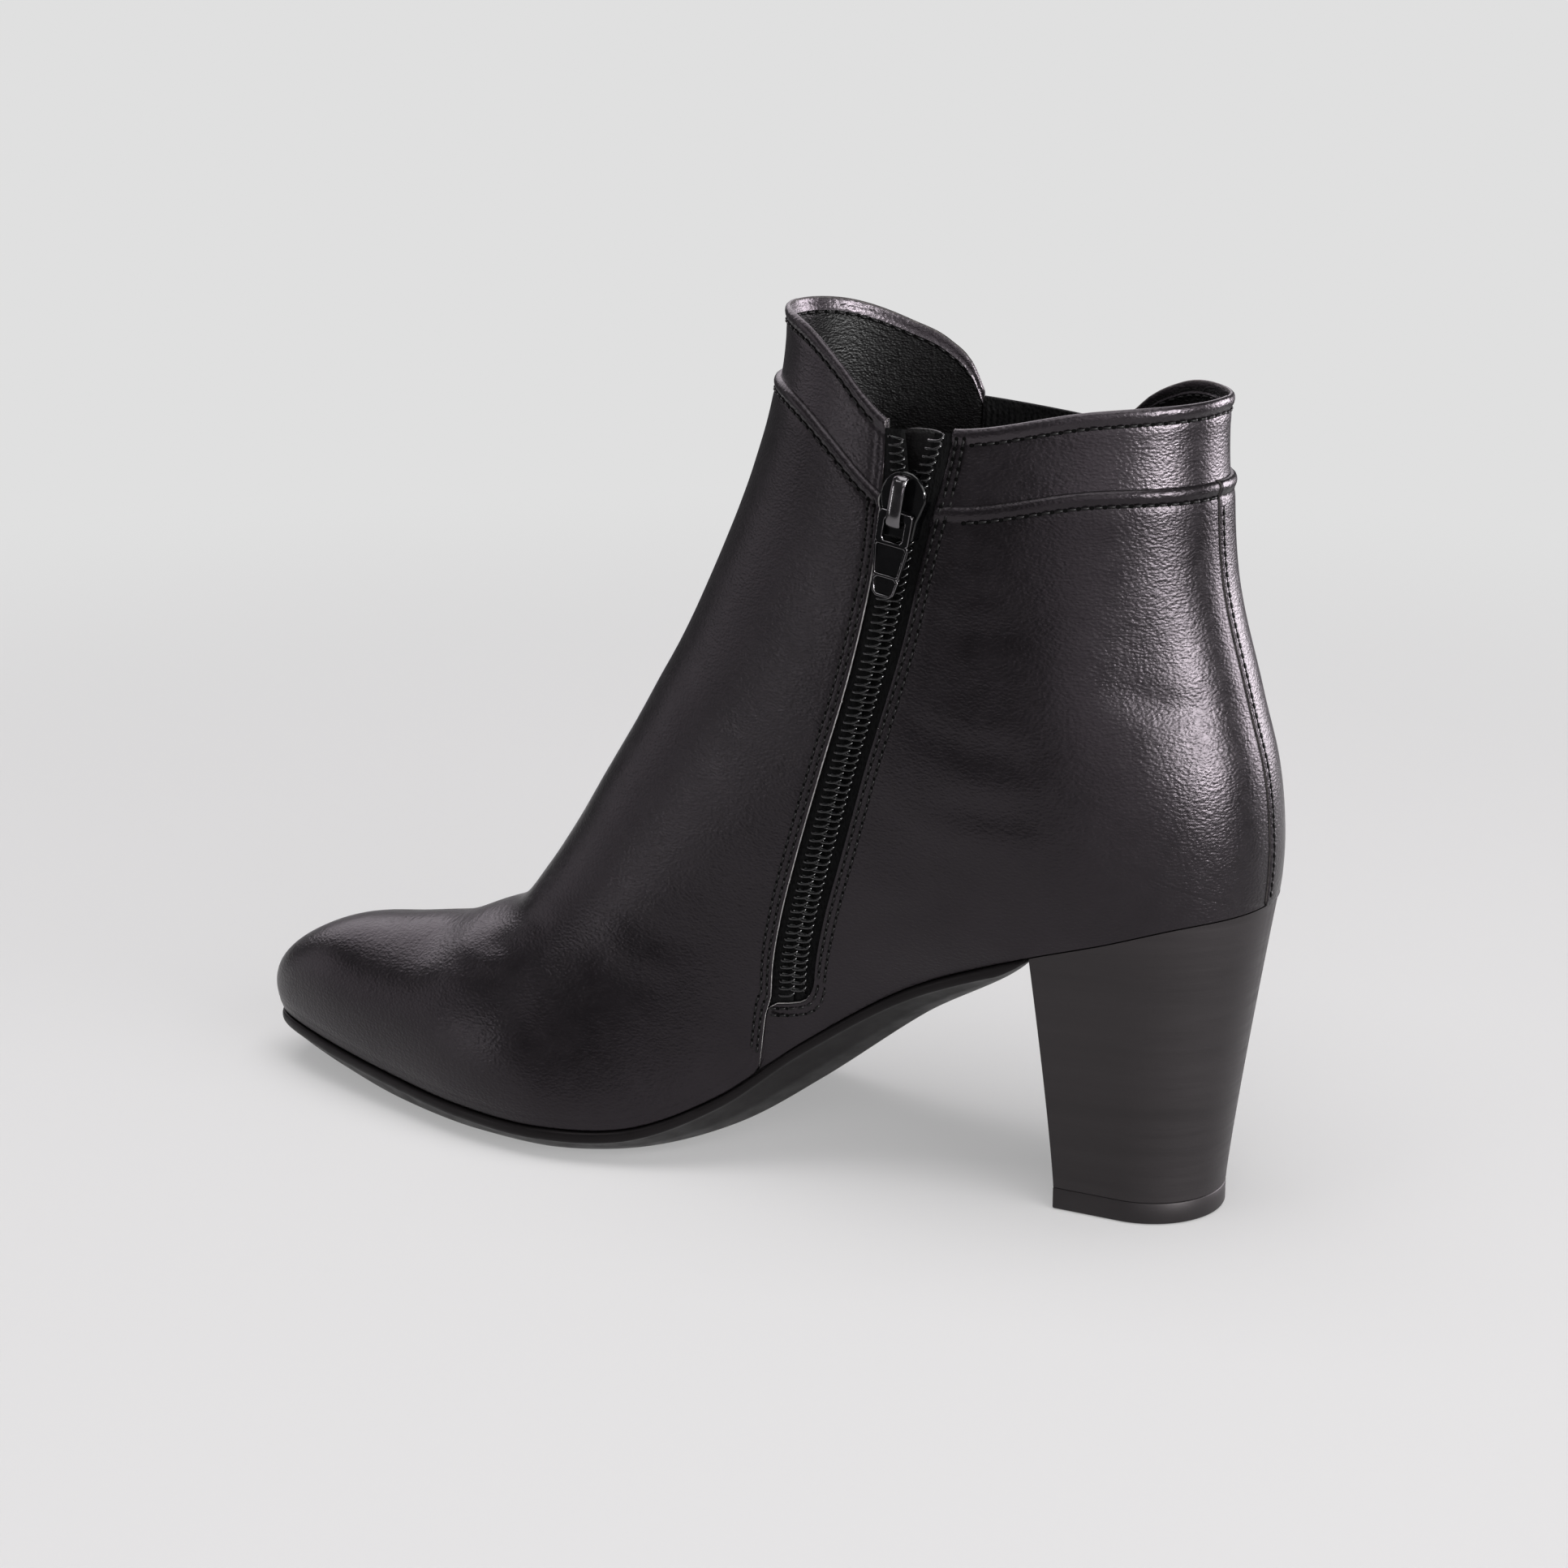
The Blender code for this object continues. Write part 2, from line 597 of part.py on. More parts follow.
def heel():
    """Rings from the foot to the seat; each end is closed by strips that meet along the middle line."""
    foot, seat = heel_foot_outline(), heel_seat_outline()
    base = TOP_PIECE + GAP

    def ring(v, k):
        flat = foot[k] + (seat[k, :2] - foot[k]) * v**HEEL_SWEEP
        return np.array([flat[0], flat[1], base + (seat[k, 2] - base) * v])

    def place(i, j):
        k = j % HEEL_POINTS
        v = min(max(i - 1, 0), HEEL_LEVELS) / HEEL_LEVELS
        if i in (0, HEEL_LEVELS + 2):
            return 0.5 * (ring(v, k) + ring(v, HEEL_POINTS - 1 - k))
        return ring(v, k)

    mesh = grid_mesh("heel", HEEL_LEVELS + 2, HEEL_POINTS, place)
    return make_object("heel", mesh, (0.03, 0.027, 0.027), 0.5)


def heel_top_piece():
    outline = [tuple(point) for point in heel_foot_outline()]
    mesh = outline_solid("heel_top_piece", outline, TOP_PIECE, Matrix.Translation((0, 0, TOP_PIECE / 2 * MM)))
    return make_object("heel_top_piece", mesh, (0.025, 0.023, 0.023), 0.6)


def slot_edge(table, z, name):
    return smooth(z, column(table, "z"), column(table, name))


GORE_LEVELS, GORE_COLUMNS = 10, 8


def elastic_gore():
    """The elastic panel in the outer notch, with a straight top edge lower than the collar."""
    foot = GORE[0].z + GAP

    def place(i, j):
        w = GAP + 0.1
        v = i / GORE_LEVELS
        u = j / GORE_COLUMNS
        top = GORE_TOP_FRONT + (GORE_TOP_REAR - GORE_TOP_FRONT) * u
        z = foot + (top - foot) * v
        front, rear = slot_edge(GORE, z, "front") - w, slot_edge(GORE, z, "rear") + w
        return on_side(front + (rear - front) * u, z, OUTER, GORE_DEPTH)

    mesh = grid_mesh("elastic_gore", GORE_LEVELS, GORE_COLUMNS, place)
    facing(mesh, 1, -OUTER)
    obj = make_object("elastic_gore", mesh, (0.015, 0.015, 0.016), 0.8)
    thicken(obj, GORE_THICK, 1)
    return obj


ZIP_LEVELS = 24
PARTING_START, PARTING_END = SLIDER_Z - 4.0, SLIDER_Z + 9.0


def zip_middle(z):
    return 0.5 * (slot_edge(SLOT, z, "front") + slot_edge(SLOT, z, "rear"))


def coil_centre(z, half):
    """x of one coil's middle, parted from the other one above the slider. half is 1 in front, -1 behind."""
    u = float(np.clip((z - PARTING_START) / (PARTING_END - PARTING_START), 0, 1))
    parted = COIL_PARTING * u * u * (3 - 2 * u)
    return zip_middle(z) + half * (COIL_WIDTH / 2 + GAP / 2 + parted)


def zip_tape(half):
    name = "zip_tape_front" if half > 0 else "zip_tape_rear"
    edge = "front" if half > 0 else "rear"

    def place(i, j):
        z = SLOT_FOOT + 0.6 + (TAPE_TOP - SLOT_FOOT - 0.6) * i / ZIP_LEVELS
        near = coil_centre(z, half) - half * COIL_WIDTH / 2
        far = slot_edge(SLOT, z, edge) - half * (GAP + 0.1)
        return on_side(near + (far - near) * j / 3, z, INNER, TAPE_DEPTH)

    mesh = grid_mesh(name, ZIP_LEVELS, 3, place)
    facing(mesh, 1, -INNER)
    obj = make_object(name, mesh, (0.012, 0.012, 0.013), 0.85)
    thicken(obj, TAPE_THICK, 1)
    return obj


def zip_coil(half):
    """One row of the zip's coil: a strip of half-round section on its tape."""
    name = "zip_coil_front" if half > 0 else "zip_coil_rear"
    across = [-1.0, -0.55, 0.55, 1.0]
    height = [0.35, 1.0, 1.0, 0.35]

    def place(i, j):
        z = SLOT_FOOT + 1.2 + (COIL_TOP - SLOT_FOOT - 1.2) * i / ZIP_LEVELS
        k = j % 6
        x = coil_centre(z, half)
        if k < 4:
            depth = COIL_FOOT + (COIL_CROWN - COIL_FOOT) * height[k]
            return on_side(x + across[k] * COIL_WIDTH / 2, z, INNER, depth)
        return on_side(x + (1 if k == 4 else -1) * COIL_WIDTH / 2, z, INNER, COIL_FOOT)

    mesh = grid_mesh(name, ZIP_LEVELS, 6, place, cap_end=True)
    return make_object(name, mesh, (0.015, 0.015, 0.016), 0.3)


def zip_guard():
    """The flap behind the zip: it lies inside the wall along both edges and clears the slider."""

    def place(i, j):
        u = j / 6
        x_off = GUARD_HALF * (2 * u - 1)
        top = GUARD_TOP - 2.6 * (2 * u - 1) ** 2
        z = GUARD_FOOT + (top - GUARD_FOOT) * i / 14
        return on_side(zip_middle(z) + x_off, z, INNER, GUARD_DEPTH)

    mesh = grid_mesh("zip_guard", 14, 6, place)
    facing(mesh, 1, -INNER)
    obj = make_object("zip_guard", mesh, (0.012, 0.012, 0.012), 0.6)
    thicken(obj, GUARD_THICK, 1)
    return obj


SLIDER_HALF_WIDTH, SLIDER_NECK_HALF, SLIDER_UP, SLIDER_DOWN = 5.2, 3.9, 7.2, 6.6
SHIELD_SHOULDER = 1.8
PLATE_THICK = 1.1
PLATE_FLOAT = 0.35
NECK_WIDTH, NECK_LENGTH = 1.3, 2.0
BRIDGE_WIDTH, BRIDGE_HALF, BRIDGE_RISE, BRIDGE_THICK = 3.0, 5.4, 3.1, 0.9
BRIDGE_UP = 1.1
PIN_RADIUS = 0.7
PIN_DOWN = 1.6
PULL_HALF_TOP, PULL_HALF_FOOT, PULL_LENGTH, PULL_THICK = 3.9, 2.5, 17.0, 1.3
EYE_HALF, EYE_LENGTH = 2.3, 5.6


def slider_frame():
    """Matrix of the slider: x across the zip to the front, y up along it, z out of the boot."""
    here = on_side(zip_middle(SLIDER_Z), SLIDER_Z, INNER)
    above = on_side(zip_middle(SLIDER_Z + 6), SLIDER_Z + 6, INNER)
    below = on_side(zip_middle(SLIDER_Z - 18), SLIDER_Z - 18, INNER)
    front = on_side(zip_middle(SLIDER_Z) + 4, SLIDER_Z, INNER)
    rear = on_side(zip_middle(SLIDER_Z) - 4, SLIDER_Z, INNER)
    up = Vector(above - below).normalized()
    out = Vector(front - rear).cross(up).normalized()
    if out.y < 0:
        out = -out
    across = up.cross(out).normalized()
    frame = Matrix((across, up, out)).transposed().to_4x4()
    frame.translation = Vector(here) * MM
    return frame


def block(name, size, centre, frame):
    """A plain bar in the slider's frame, as a joining helper."""
    bm = bmesh.new()
    bmesh.ops.create_cube(bm, size=1)
    place = Matrix.Translation(Vector(centre) * MM) @ Matrix.Diagonal((*[v * MM for v in size], 1))
    bmesh.ops.transform(bm, matrix=frame @ place, verts=bm.verts)
    mesh = bpy.data.meshes.new(name)
    bm.to_mesh(mesh)
    bm.free()
    obj = make_object(name, mesh, (0.5, 0.5, 0.5), 0.5)
    hide_helper(obj)
    return obj


def zip_slider(frame):
    """Two shield-shaped plates, the neck that joins them where the coils part, and the pull's bridge."""
    half_shield = []
    for turn in (0.5, 0.95, 1.3, 1.57):
        rise = SHIELD_SHOULDER + (SLIDER_UP - SHIELD_SHOULDER) * math.cos(turn)
        half_shield.append((SLIDER_HALF_WIDTH * math.sin(turn), rise))
    half_shield += [(SLIDER_NECK_HALF, -2.2), (SLIDER_NECK_HALF - 0.3, -SLIDER_DOWN)]
    shield = [(0, SLIDER_UP), *half_shield, *[(-x, y) for x, y in reversed(half_shield)]]
    top_face = -COIL_CROWN + PLATE_FLOAT
    plate_top = top_face + PLATE_THICK
    under_face = -(TAPE_DEPTH + TAPE_THICK + PLATE_FLOAT)
    top = Matrix.Translation((0, 0, (top_face + PLATE_THICK / 2) * MM))
    under = Matrix.Translation((0, 0, (under_face - PLATE_THICK / 4) * MM))
    mesh = outline_solid("zip_slider", shield, PLATE_THICK, frame @ top)
    obj = make_object("zip_slider", mesh, (0.02, 0.02, 0.022), 0.15, 0.9)
    under_mesh = outline_solid("slider_under_plate", shield, PLATE_THICK / 2, frame @ under)
    plate = make_object("slider_under_plate", under_mesh, (0.5, 0.5, 0.5), 0.5)
    hide_helper(plate)
    boolean(obj, plate, "UNION")
    neck_size = (NECK_WIDTH, NECK_LENGTH, top_face - under_face + 0.6)
    neck_centre = (0, SLIDER_UP - 1.6, (top_face + under_face) / 2)
    boolean(obj, block("slider_neck", neck_size, neck_centre, frame), "UNION")
    bridge_size = (BRIDGE_WIDTH, 2 * BRIDGE_HALF, BRIDGE_THICK)
    bridge_centre = (0, BRIDGE_UP, plate_top + BRIDGE_RISE - BRIDGE_THICK / 2)
    boolean(obj, block("slider_bridge", bridge_size, bridge_centre, frame), "UNION")
    leg_size = (BRIDGE_WIDTH, BRIDGE_THICK, BRIDGE_RISE)
    for end in (1, -1):
        leg_place = BRIDGE_UP + end * (BRIDGE_HALF - BRIDGE_THICK / 2 - 0.05)
        leg_centre = (0, leg_place, plate_top + BRIDGE_RISE / 2 - 0.15)
        boolean(obj, block(f"slider_bridge_leg_{end}", leg_size, leg_centre, frame), "UNION")
    return obj


def pin_height():
    return -COIL_CROWN + PLATE_FLOAT + PLATE_THICK + GAP + PIN_RADIUS


def zip_pull(frame):
    """The tab: a tapered plate with an eye round the bridge, on the pin that is its hinge line."""
    half_plate = [(PULL_HALF_TOP, PIN_RADIUS), (PULL_HALF_TOP, -EYE_LENGTH)]
    half_plate += [(PULL_HALF_FOOT, -PULL_LENGTH + 0.8), (PULL_HALF_FOOT - 0.8, -PULL_LENGTH)]
    plate = [*half_plate, *[(-x, y) for x, y in reversed(half_plate)]]
    mesh = outline_solid("zip_pull", plate, PULL_THICK, Matrix.Identity(4))
    obj = make_object("zip_pull", mesh, (0.02, 0.02, 0.022), 0.15, 0.9)
    eye_size = (2 * EYE_HALF, EYE_LENGTH - PIN_RADIUS, 4)
    eye_centre = (0, -(EYE_LENGTH + PIN_RADIUS) / 2, 0)
    eye = block("pull_eye", eye_size, eye_centre, Matrix.Identity(4))
    boolean(obj, eye)
    pivot = bpy.data.objects.new("pull_hinge", None)
    BOOT.objects.link(pivot)
    pivot.matrix_world = frame @ Matrix.Translation((0, -PIN_DOWN * MM, pin_height() * MM))
    for piece in (obj, eye):
        piece.parent = pivot
    return obj


def clear_scene():
    for obj in list(bpy.data.objects):
        bpy.data.objects.remove(obj)


def collection(name):
    made = bpy.data.collections.new(name)
    bpy.context.scene.collection.children.link(made)
    return made


def stand_on_origin(root):
    """Moves the boot so that the origin is under the middle of its box, on the floor."""
    bpy.context.view_layer.update()
    graph = bpy.context.evaluated_depsgraph_get()
    corners = []
    for obj in BOOT.objects:
        if obj.type == "MESH":
            shown = obj.evaluated_get(graph)
            corners += [shown.matrix_world @ Vector(corner) for corner in shown.bound_box]
    low = [min(corner[k] for corner in corners) for k in range(3)]
    high = [max(corner[k] for corner in corners) for k in range(3)]
    root.location = (-(low[0] + high[0]) / 2, -(low[1] + high[1]) / 2, -low[2])
    bpy.context.view_layer.update()
    print("origin shift in mm:", [round(v / MM, 4) for v in root.location])


clear_scene()
BOOT = collection("heeled_ankle_boot")
CUTTERS = collection("cutters")
upper()
outsole()
insole()
heel()
heel_top_piece()
elastic_gore()
for half in (1, -1):
    zip_tape(half)
    zip_coil(half)
zip_guard()
slider_place = slider_frame()
zip_slider(slider_place)
zip_pull(slider_place)
boot_root = bpy.data.objects.new("boot", None)
BOOT.objects.link(boot_root)
for piece in [*BOOT.objects, *CUTTERS.objects]:
    if piece.parent is None and piece is not boot_root:
        piece.parent = boot_root
stand_on_origin(boot_root)
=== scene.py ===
# %% [markdown]
# # A heeled ankle boot, dressed
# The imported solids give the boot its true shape: a hollow upper, a sole, a heel and a zip. This lesson
# lays the visible leather, thread, elastic and metal over them. Each step says what the piece is on the
# real boot, how it could be made in Blender, and why it is made this way. Sizes are millimetres until a
# mesh is made.

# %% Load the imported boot
import math
from collections import namedtuple

import bmesh
import bpy
import numpy as np
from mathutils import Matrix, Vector


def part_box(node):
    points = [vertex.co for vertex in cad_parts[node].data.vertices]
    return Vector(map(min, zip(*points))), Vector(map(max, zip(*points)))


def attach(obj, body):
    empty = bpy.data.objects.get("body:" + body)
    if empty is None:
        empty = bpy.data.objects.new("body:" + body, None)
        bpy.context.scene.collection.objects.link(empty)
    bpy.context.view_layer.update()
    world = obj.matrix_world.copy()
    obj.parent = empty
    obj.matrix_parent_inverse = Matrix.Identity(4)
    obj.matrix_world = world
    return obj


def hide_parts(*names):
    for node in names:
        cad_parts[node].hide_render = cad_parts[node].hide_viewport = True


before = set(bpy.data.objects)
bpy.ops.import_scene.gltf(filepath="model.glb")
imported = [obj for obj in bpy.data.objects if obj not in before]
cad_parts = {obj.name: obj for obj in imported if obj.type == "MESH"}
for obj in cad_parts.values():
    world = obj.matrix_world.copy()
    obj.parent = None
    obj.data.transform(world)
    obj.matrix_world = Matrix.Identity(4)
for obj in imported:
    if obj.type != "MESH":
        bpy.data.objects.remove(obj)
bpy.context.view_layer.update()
MM = 0.001
print("nodes:", sorted(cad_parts))

# %% [markdown]
# ## The last
# A boot is pulled over a wooden or plastic form called the last, and every panel takes its shape. So the
# last is written down once, as a table of sections, and each panel below is cut from the same surface.
# The foot has open sections, from the sole's edge on one side to the ridge over the instep. The heel and
# shaft have closed ovals.

# %% Tables of the last
INNER, OUTER = 1, -1
Section = namedtuple(
    "Section",
    "name bottom_x bottom_z top_x top_z inner outer outer_drop ridge low lift crown_in crown_out",
)
FOOT = [
    Section("toe tip", 214.5, 12.8, 214.5, 12.8, 1.5, 1.5, 0.0, 1.5, 0.0, 0.4, 0.0, 0.0),
    Section("toe nose", 213.6, 12.7, 216.9, 18.0, 6.6, -4.2, 0.0, 1.7, 0.5, 0.4, 3.6, 4.2),
    Section("toe front", 210.6, 12.5, 214.6, 24.6, 10.6, -9.0, 0.0, 2.2, 1.0, 0.4, 7.0, 8.0),
    Section("toe", 203.0, 11.8, 206.8, 31.2, 15.2, -17.6, 0.0, 3.0, 2.0, 0.42, 11.0, 13.0),
    Section("toe box", 190.0, 10.5, 194.0, 37.3, 20.9, -25.8, 0.0, 3.8, 3.2, 0.44, 15.0, 18.5),
    Section("toe root", 172.0, 9.0, 176.0, 41.6, 27.6, -33.4, 0.0, 4.2, 4.2, 0.44, 18.5, 21.5),
    Section("ball front", 150.0, 7.8, 157.5, 46.2, 34.8, -39.4, 0.0, 4.2, 4.6, 0.44, 22.0, 25.0),
    Section("ball", 128.0, 7.5, 147.0, 50.6, 38.0, -42.0, 0.0, 4.0, 4.6, 0.42, 22.5, 26.0),
    Section("ball back", 107.0, 9.3, 140.5, 58.2, 34.4, -41.2, 1.0, 3.6, 5.2, 0.4, 21.5, 25.5),
    Section("waist front", 88.0, 18.0, 133.5, 69.0, 28.6, -37.8, 3.0, 3.0, 6.8, 0.37, 22.0, 25.0),
    Section("waist", 70.0, 32.0, 126.5, 81.0, 24.6, -33.6, 4.0, 2.4, 8.6, 0.355, 24.0, 26.0),
    Section("waist back", 46.0, 47.7, 119.5, 93.0, 23.8, -29.4, 2.6, 1.8, 10.6, 0.355, 25.5, 26.5),
]
Oval = namedtuple("Oval", "name back_x back_z front_x front_z ridge back_swell front_swell")
SHAFT = [
    Oval("heel breast", -18.6, 40.4, 112.9, 105.0, 1.2, 36.6, 41.6),
    Oval("heel seat", -22.5, 52.5, 108.6, 112.6, 0.8, 41.8, 39.6),
    Oval("heel turn", -24.4, 62.0, 104.6, 120.4, 0.6, 45.4, 38.6),
    Oval("heel back", -25.3, 70.0, 100.8, 128.8, 0.4, 46.4, 38.0),
    Oval("counter", -25.8, 82.0, 97.4, 136.8, 0.2, 46.0, 37.8),
    Oval("counter top", -24.2, 97.0, 94.2, 144.6, 0.1, 45.0, 37.2),
    Oval("ankle", -20.3, 112.5, 91.4, 152.4, 0.0, 43.6, 36.6),
    Oval("shaft", -13.9, 137.0, 88.2, 163.8, 0.0, 41.2, 36.2),
    Oval("band", -12.2, 158.0, 85.7, 177.0, 0.0, 40.2, 36.0),
    Oval("above collar", -13.2, 178.0, 84.2, 194.0, 0.0, 40.0, 36.0),
]
ROW = {row.name: index for index, row in enumerate(FOOT + SHAFT)}
BREAST, HEEL_BACK = ROW["heel breast"], ROW["heel back"]
SEAT_X = [-25.3, -12.0, 4.0, 19.6, 34.0]
SEAT_Z = [70.0, 68.0, 63.4, 58.8, 53.4]
HEEL_FOOT_RADIUS, HEEL_FOOT_FRONT, HEEL_FOOT_CORNER = 16.8, 15.6, 16.2
heel_low, heel_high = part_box("heel_top_piece")
SHIFT = np.array([heel_low[0] / MM + HEEL_FOOT_RADIUS, (heel_low[1] + heel_high[1]) / 2 / MM, 0.0])
print("the last's own zero lies at", np.round(SHIFT, 2), "mm")

# %% [markdown]
# ## From tables to a surface
# Blender could loft these sections with a NURBS surface, but the panels need to ask the surface for a
# point and a normal at any place, millions of times. So each section side is a cubic Bezier whose four
# points run along the boot on a spline, worked out once in fine steps and then read by numpy for whole
# arrays at a time. s is the place along the boot in table rows, t runs from the sole edge or back seam
# (0) to the front ridge (1).

# %% Surface of the last
STEP = 0.01


def smooth(x, xs, ys):
    """A soft curve through a short table: cubic Hermite with slopes from the neighbouring points."""
    x, xs, ys = np.asarray(x, float), np.asarray(xs, float), np.asarray(ys, float)
    slopes = np.gradient(ys, xs)
    i = np.clip(np.searchsorted(xs, x) - 1, 0, len(xs) - 2)
    width = xs[i + 1] - xs[i]
    u = np.clip((x - xs[i]) / width, 0, 1)
    near, far = 2 * u**3 - 3 * u**2 + 1, 3 * u**2 - 2 * u**3
    leave, arrive = u**3 - 2 * u**2 + u, u**3 - u**2
    return near * ys[i] + far * ys[i + 1] + width * (leave * slopes[i] + arrive * slopes[i + 1])


# %% Sections of the foot and the shaft
def foot_controls(row, side):
    """Four Bezier points of one side of a foot section, from the sole edge to the front ridge."""
    edge, crown = (row.inner, row.crown_in) if side == INNER else (row.outer, row.crown_out)
    drop = 0.0 if side == INNER else row.outer_drop
    start = np.array([row.bottom_x, edge, row.bottom_z - drop])
    reach = np.array([row.top_x - row.bottom_x, 0.0, row.top_z - row.bottom_z])
    head = np.array([row.top_x, row.ridge, row.top_z])
    sideways = np.array([0.0, float(side), 0.0])
    return np.array([start, start + sideways * row.low + row.lift * reach, head + sideways * crown, head])


def before_tip(side):
    """A section past the toe tip, so that the two sides run round the tip without a kink."""
    tip, nose = FOOT[0], FOOT[1]
    turned = nose._replace(
        inner=nose.outer,
        outer=nose.inner,
        low=-nose.low,
        crown_in=-nose.crown_out,
        crown_out=-nose.crown_in,
        top_x=nose.bottom_x - (nose.top_x - tip.top_x),
        top_z=2 * tip.top_z - nose.top_z,
    )
    return foot_controls(turned, side)


def oval_controls(s, side):
    """Four Bezier points of one side of a closed oval, by a Catmull-Rom spline through the table."""
    rows = np.array([row[1:] for row in SHAFT], float)
    rows = np.vstack([2 * rows[0] - rows[1], rows, 2 * rows[-1] - rows[-2]])
    i = int(np.clip(math.floor(s - BREAST), 0, len(SHAFT) - 2))
    u = s - BREAST - i
    p0, p1, p2, p3 = rows[i : i + 4]
    bend = p0 * (-u + 2 * u**2 - u**3) + p3 * (u**3 - u**2)
    bend = bend + p1 * (2 - 5 * u**2 + 3 * u**3) + p2 * (u + 4 * u**2 - 3 * u**3)
    row = Oval("", *(bend / 2))
    back = np.array([row.back_x, 0.0, row.back_z])
    front = np.array([row.front_x, row.ridge, row.front_z])
    sideways = np.array([0.0, float(side), 0.0])
    return np.array([back, back + sideways * row.back_swell, front + sideways * row.front_swell, front])


# %% One surface from the sections
def bezier(points, t):
    t = np.asarray(t, float)[..., None]
    a, b, c, d = (points[..., k, :] for k in range(4))
    return (1 - t) ** 3 * a + 3 * t * (1 - t) ** 2 * b + 3 * t**2 * (1 - t) * c + t**3 * d


def cut_at_seat(points):
    """The part of an oval's side that lies over the heel seat."""
    if points[0][2] >= smooth(points[0][0], SEAT_X, SEAT_Z):
        return points
    low, high = 0.0, 0.6
    for _ in range(40):
        middle = (low + high) / 2
        here = bezier(points, middle)
        if here[2] < smooth(here[0], SEAT_X, SEAT_Z):
            low = middle
        else:
            high = middle
    a, b, c, d = points
    ab, bc, cd = a + (b - a) * low, b + (c - b) * low, c + (d - c) * low
    abc, bcd = ab + (bc - ab) * low, bc + (cd - bc) * low
    return np.array([abc + (bcd - abc) * low, bcd, cd, d])


def last_rows(side):
    """The Bezier points of one side at every STEP of s."""
    shaft = [cut_at_seat(oval_controls(s, side)) for s in np.arange(BREAST, len(ROW) - 1 + STEP / 2, STEP)]
    foot = [before_tip(side)] + [foot_controls(row, side) for row in FOOT] + [shaft[0]]
    rows = []
    for s in np.arange(0, BREAST - STEP / 2, STEP):
        i = int(math.floor(s + 1e-9))
        u = s - i
        first, last = foot[i + 1], foot[i + 2]
        leave = (last - foot[i]) / 2
        arrive = (foot[i + 3] - first) / 2 if i + 1 < BREAST else (shaft[1] - shaft[0]) / STEP
        near, far = 2 * u**3 - 3 * u**2 + 1, 3 * u**2 - 2 * u**3
        rows.append(near * first + far * last + (u**3 - 2 * u**2 + u) * leave + (u**3 - u**2) * arrive)
    return np.array(rows + shaft)


LAST = {side: last_rows(side) for side in (INNER, OUTER)}


def skin(s, t, side):
    """Points of the upper's outside at arrays of s and t."""
    s, t = np.broadcast_arrays(np.asarray(s, float), np.asarray(t, float))
    f = np.clip(s / STEP, 0, len(LAST[side]) - 1.001)
    i = f.astype(int)
    u = (f - i)[..., None, None]
    return bezier(LAST[side][i] * (1 - u) + LAST[side][i + 1] * u, t)


# %% Asking the surface for points
def unit(v):
    return v / np.maximum(np.linalg.norm(v, axis=-1, keepdims=True), 1e-9)


def length_along(points):
    """Length of a line from its first point to each of its points."""
    return np.concatenate([[0], np.cumsum(np.linalg.norm(np.diff(points, axis=0), axis=1))])


def at_lengths(points, steps):
    """Points of a line at those lengths along it."""
    length = length_along(points)
    return np.column_stack([np.interp(steps, length, points[:, k]) for k in range(points.shape[1])])


def skin_normal(s, t, side):
    """Unit normals of the skin, pointing out of the boot."""
    s, t = np.broadcast_arrays(np.asarray(s, float), np.asarray(t, float))
    ahead = skin(s + 0.03, t, side) - skin(np.maximum(s - 0.03, 0.02), t, side)
    across = skin(s, np.minimum(t + 0.01, 1), side) - skin(s, np.maximum(t - 0.01, 0), side)
    return unit(np.cross(ahead, across) * side)


def find(x, z, side):
    """The s and t of the skin points with those x and z, by Newton steps."""
    x, z = np.broadcast_arrays(np.asarray(x, float), np.asarray(z, float))
    s = np.interp(z, [30, 60, 90, 125, 170], [10.0, 11.8, 14.5, 17.6, 19.9])
    t = np.full_like(s, 0.45)
    e = 0.01
    for _ in range(30):
        here = skin(s, t, side)
        miss_x, miss_z = x - here[..., 0], z - here[..., 2]
        ds = (skin(s + e, t, side) - here) / e
        dt = (skin(s, t + e, side) - here) / e
        area = ds[..., 0] * dt[..., 2] - dt[..., 0] * ds[..., 2]
        area = np.where(np.abs(area) < 1e-6, 1e-6, area)
        step_s = (miss_x * dt[..., 2] - dt[..., 0] * miss_z) / area
        step_t = (ds[..., 0] * miss_z - miss_x * ds[..., 2]) / area
        s = np.clip(s + np.clip(step_s, -0.6, 0.6), 0.5, len(ROW) - 1.02)
        t = np.clip(t + np.clip(step_t, -0.1, 0.1), 0.004, 0.99)
    return s, t


def on_side(x, z, side, depth=0.0):
    """Points of the boot's side at those x and heights, sunk below the skin by depth."""
    s, t = find(x, z, side)
    return skin(s, t, side) - np.asarray(depth)[..., None] * skin_normal(s, t, side)


ball = skin(ROW["ball"], 0.0, INNER) - skin(ROW["ball"], 0.0, OUTER)
print("ball width of the last:", round(float(ball[1]), 1), "mm")

# %% [markdown]
# ## Where the panels end
# The pattern of this boot is short: one front panel that runs from the toe to the top of the shaft, two
# rear quarters, and a collar band in two lengths. They part at the zip on the inner side and at the
# elastic on the outer side, and below those a seam runs down to the sole. These lines are tables of real
# sizes in side view.

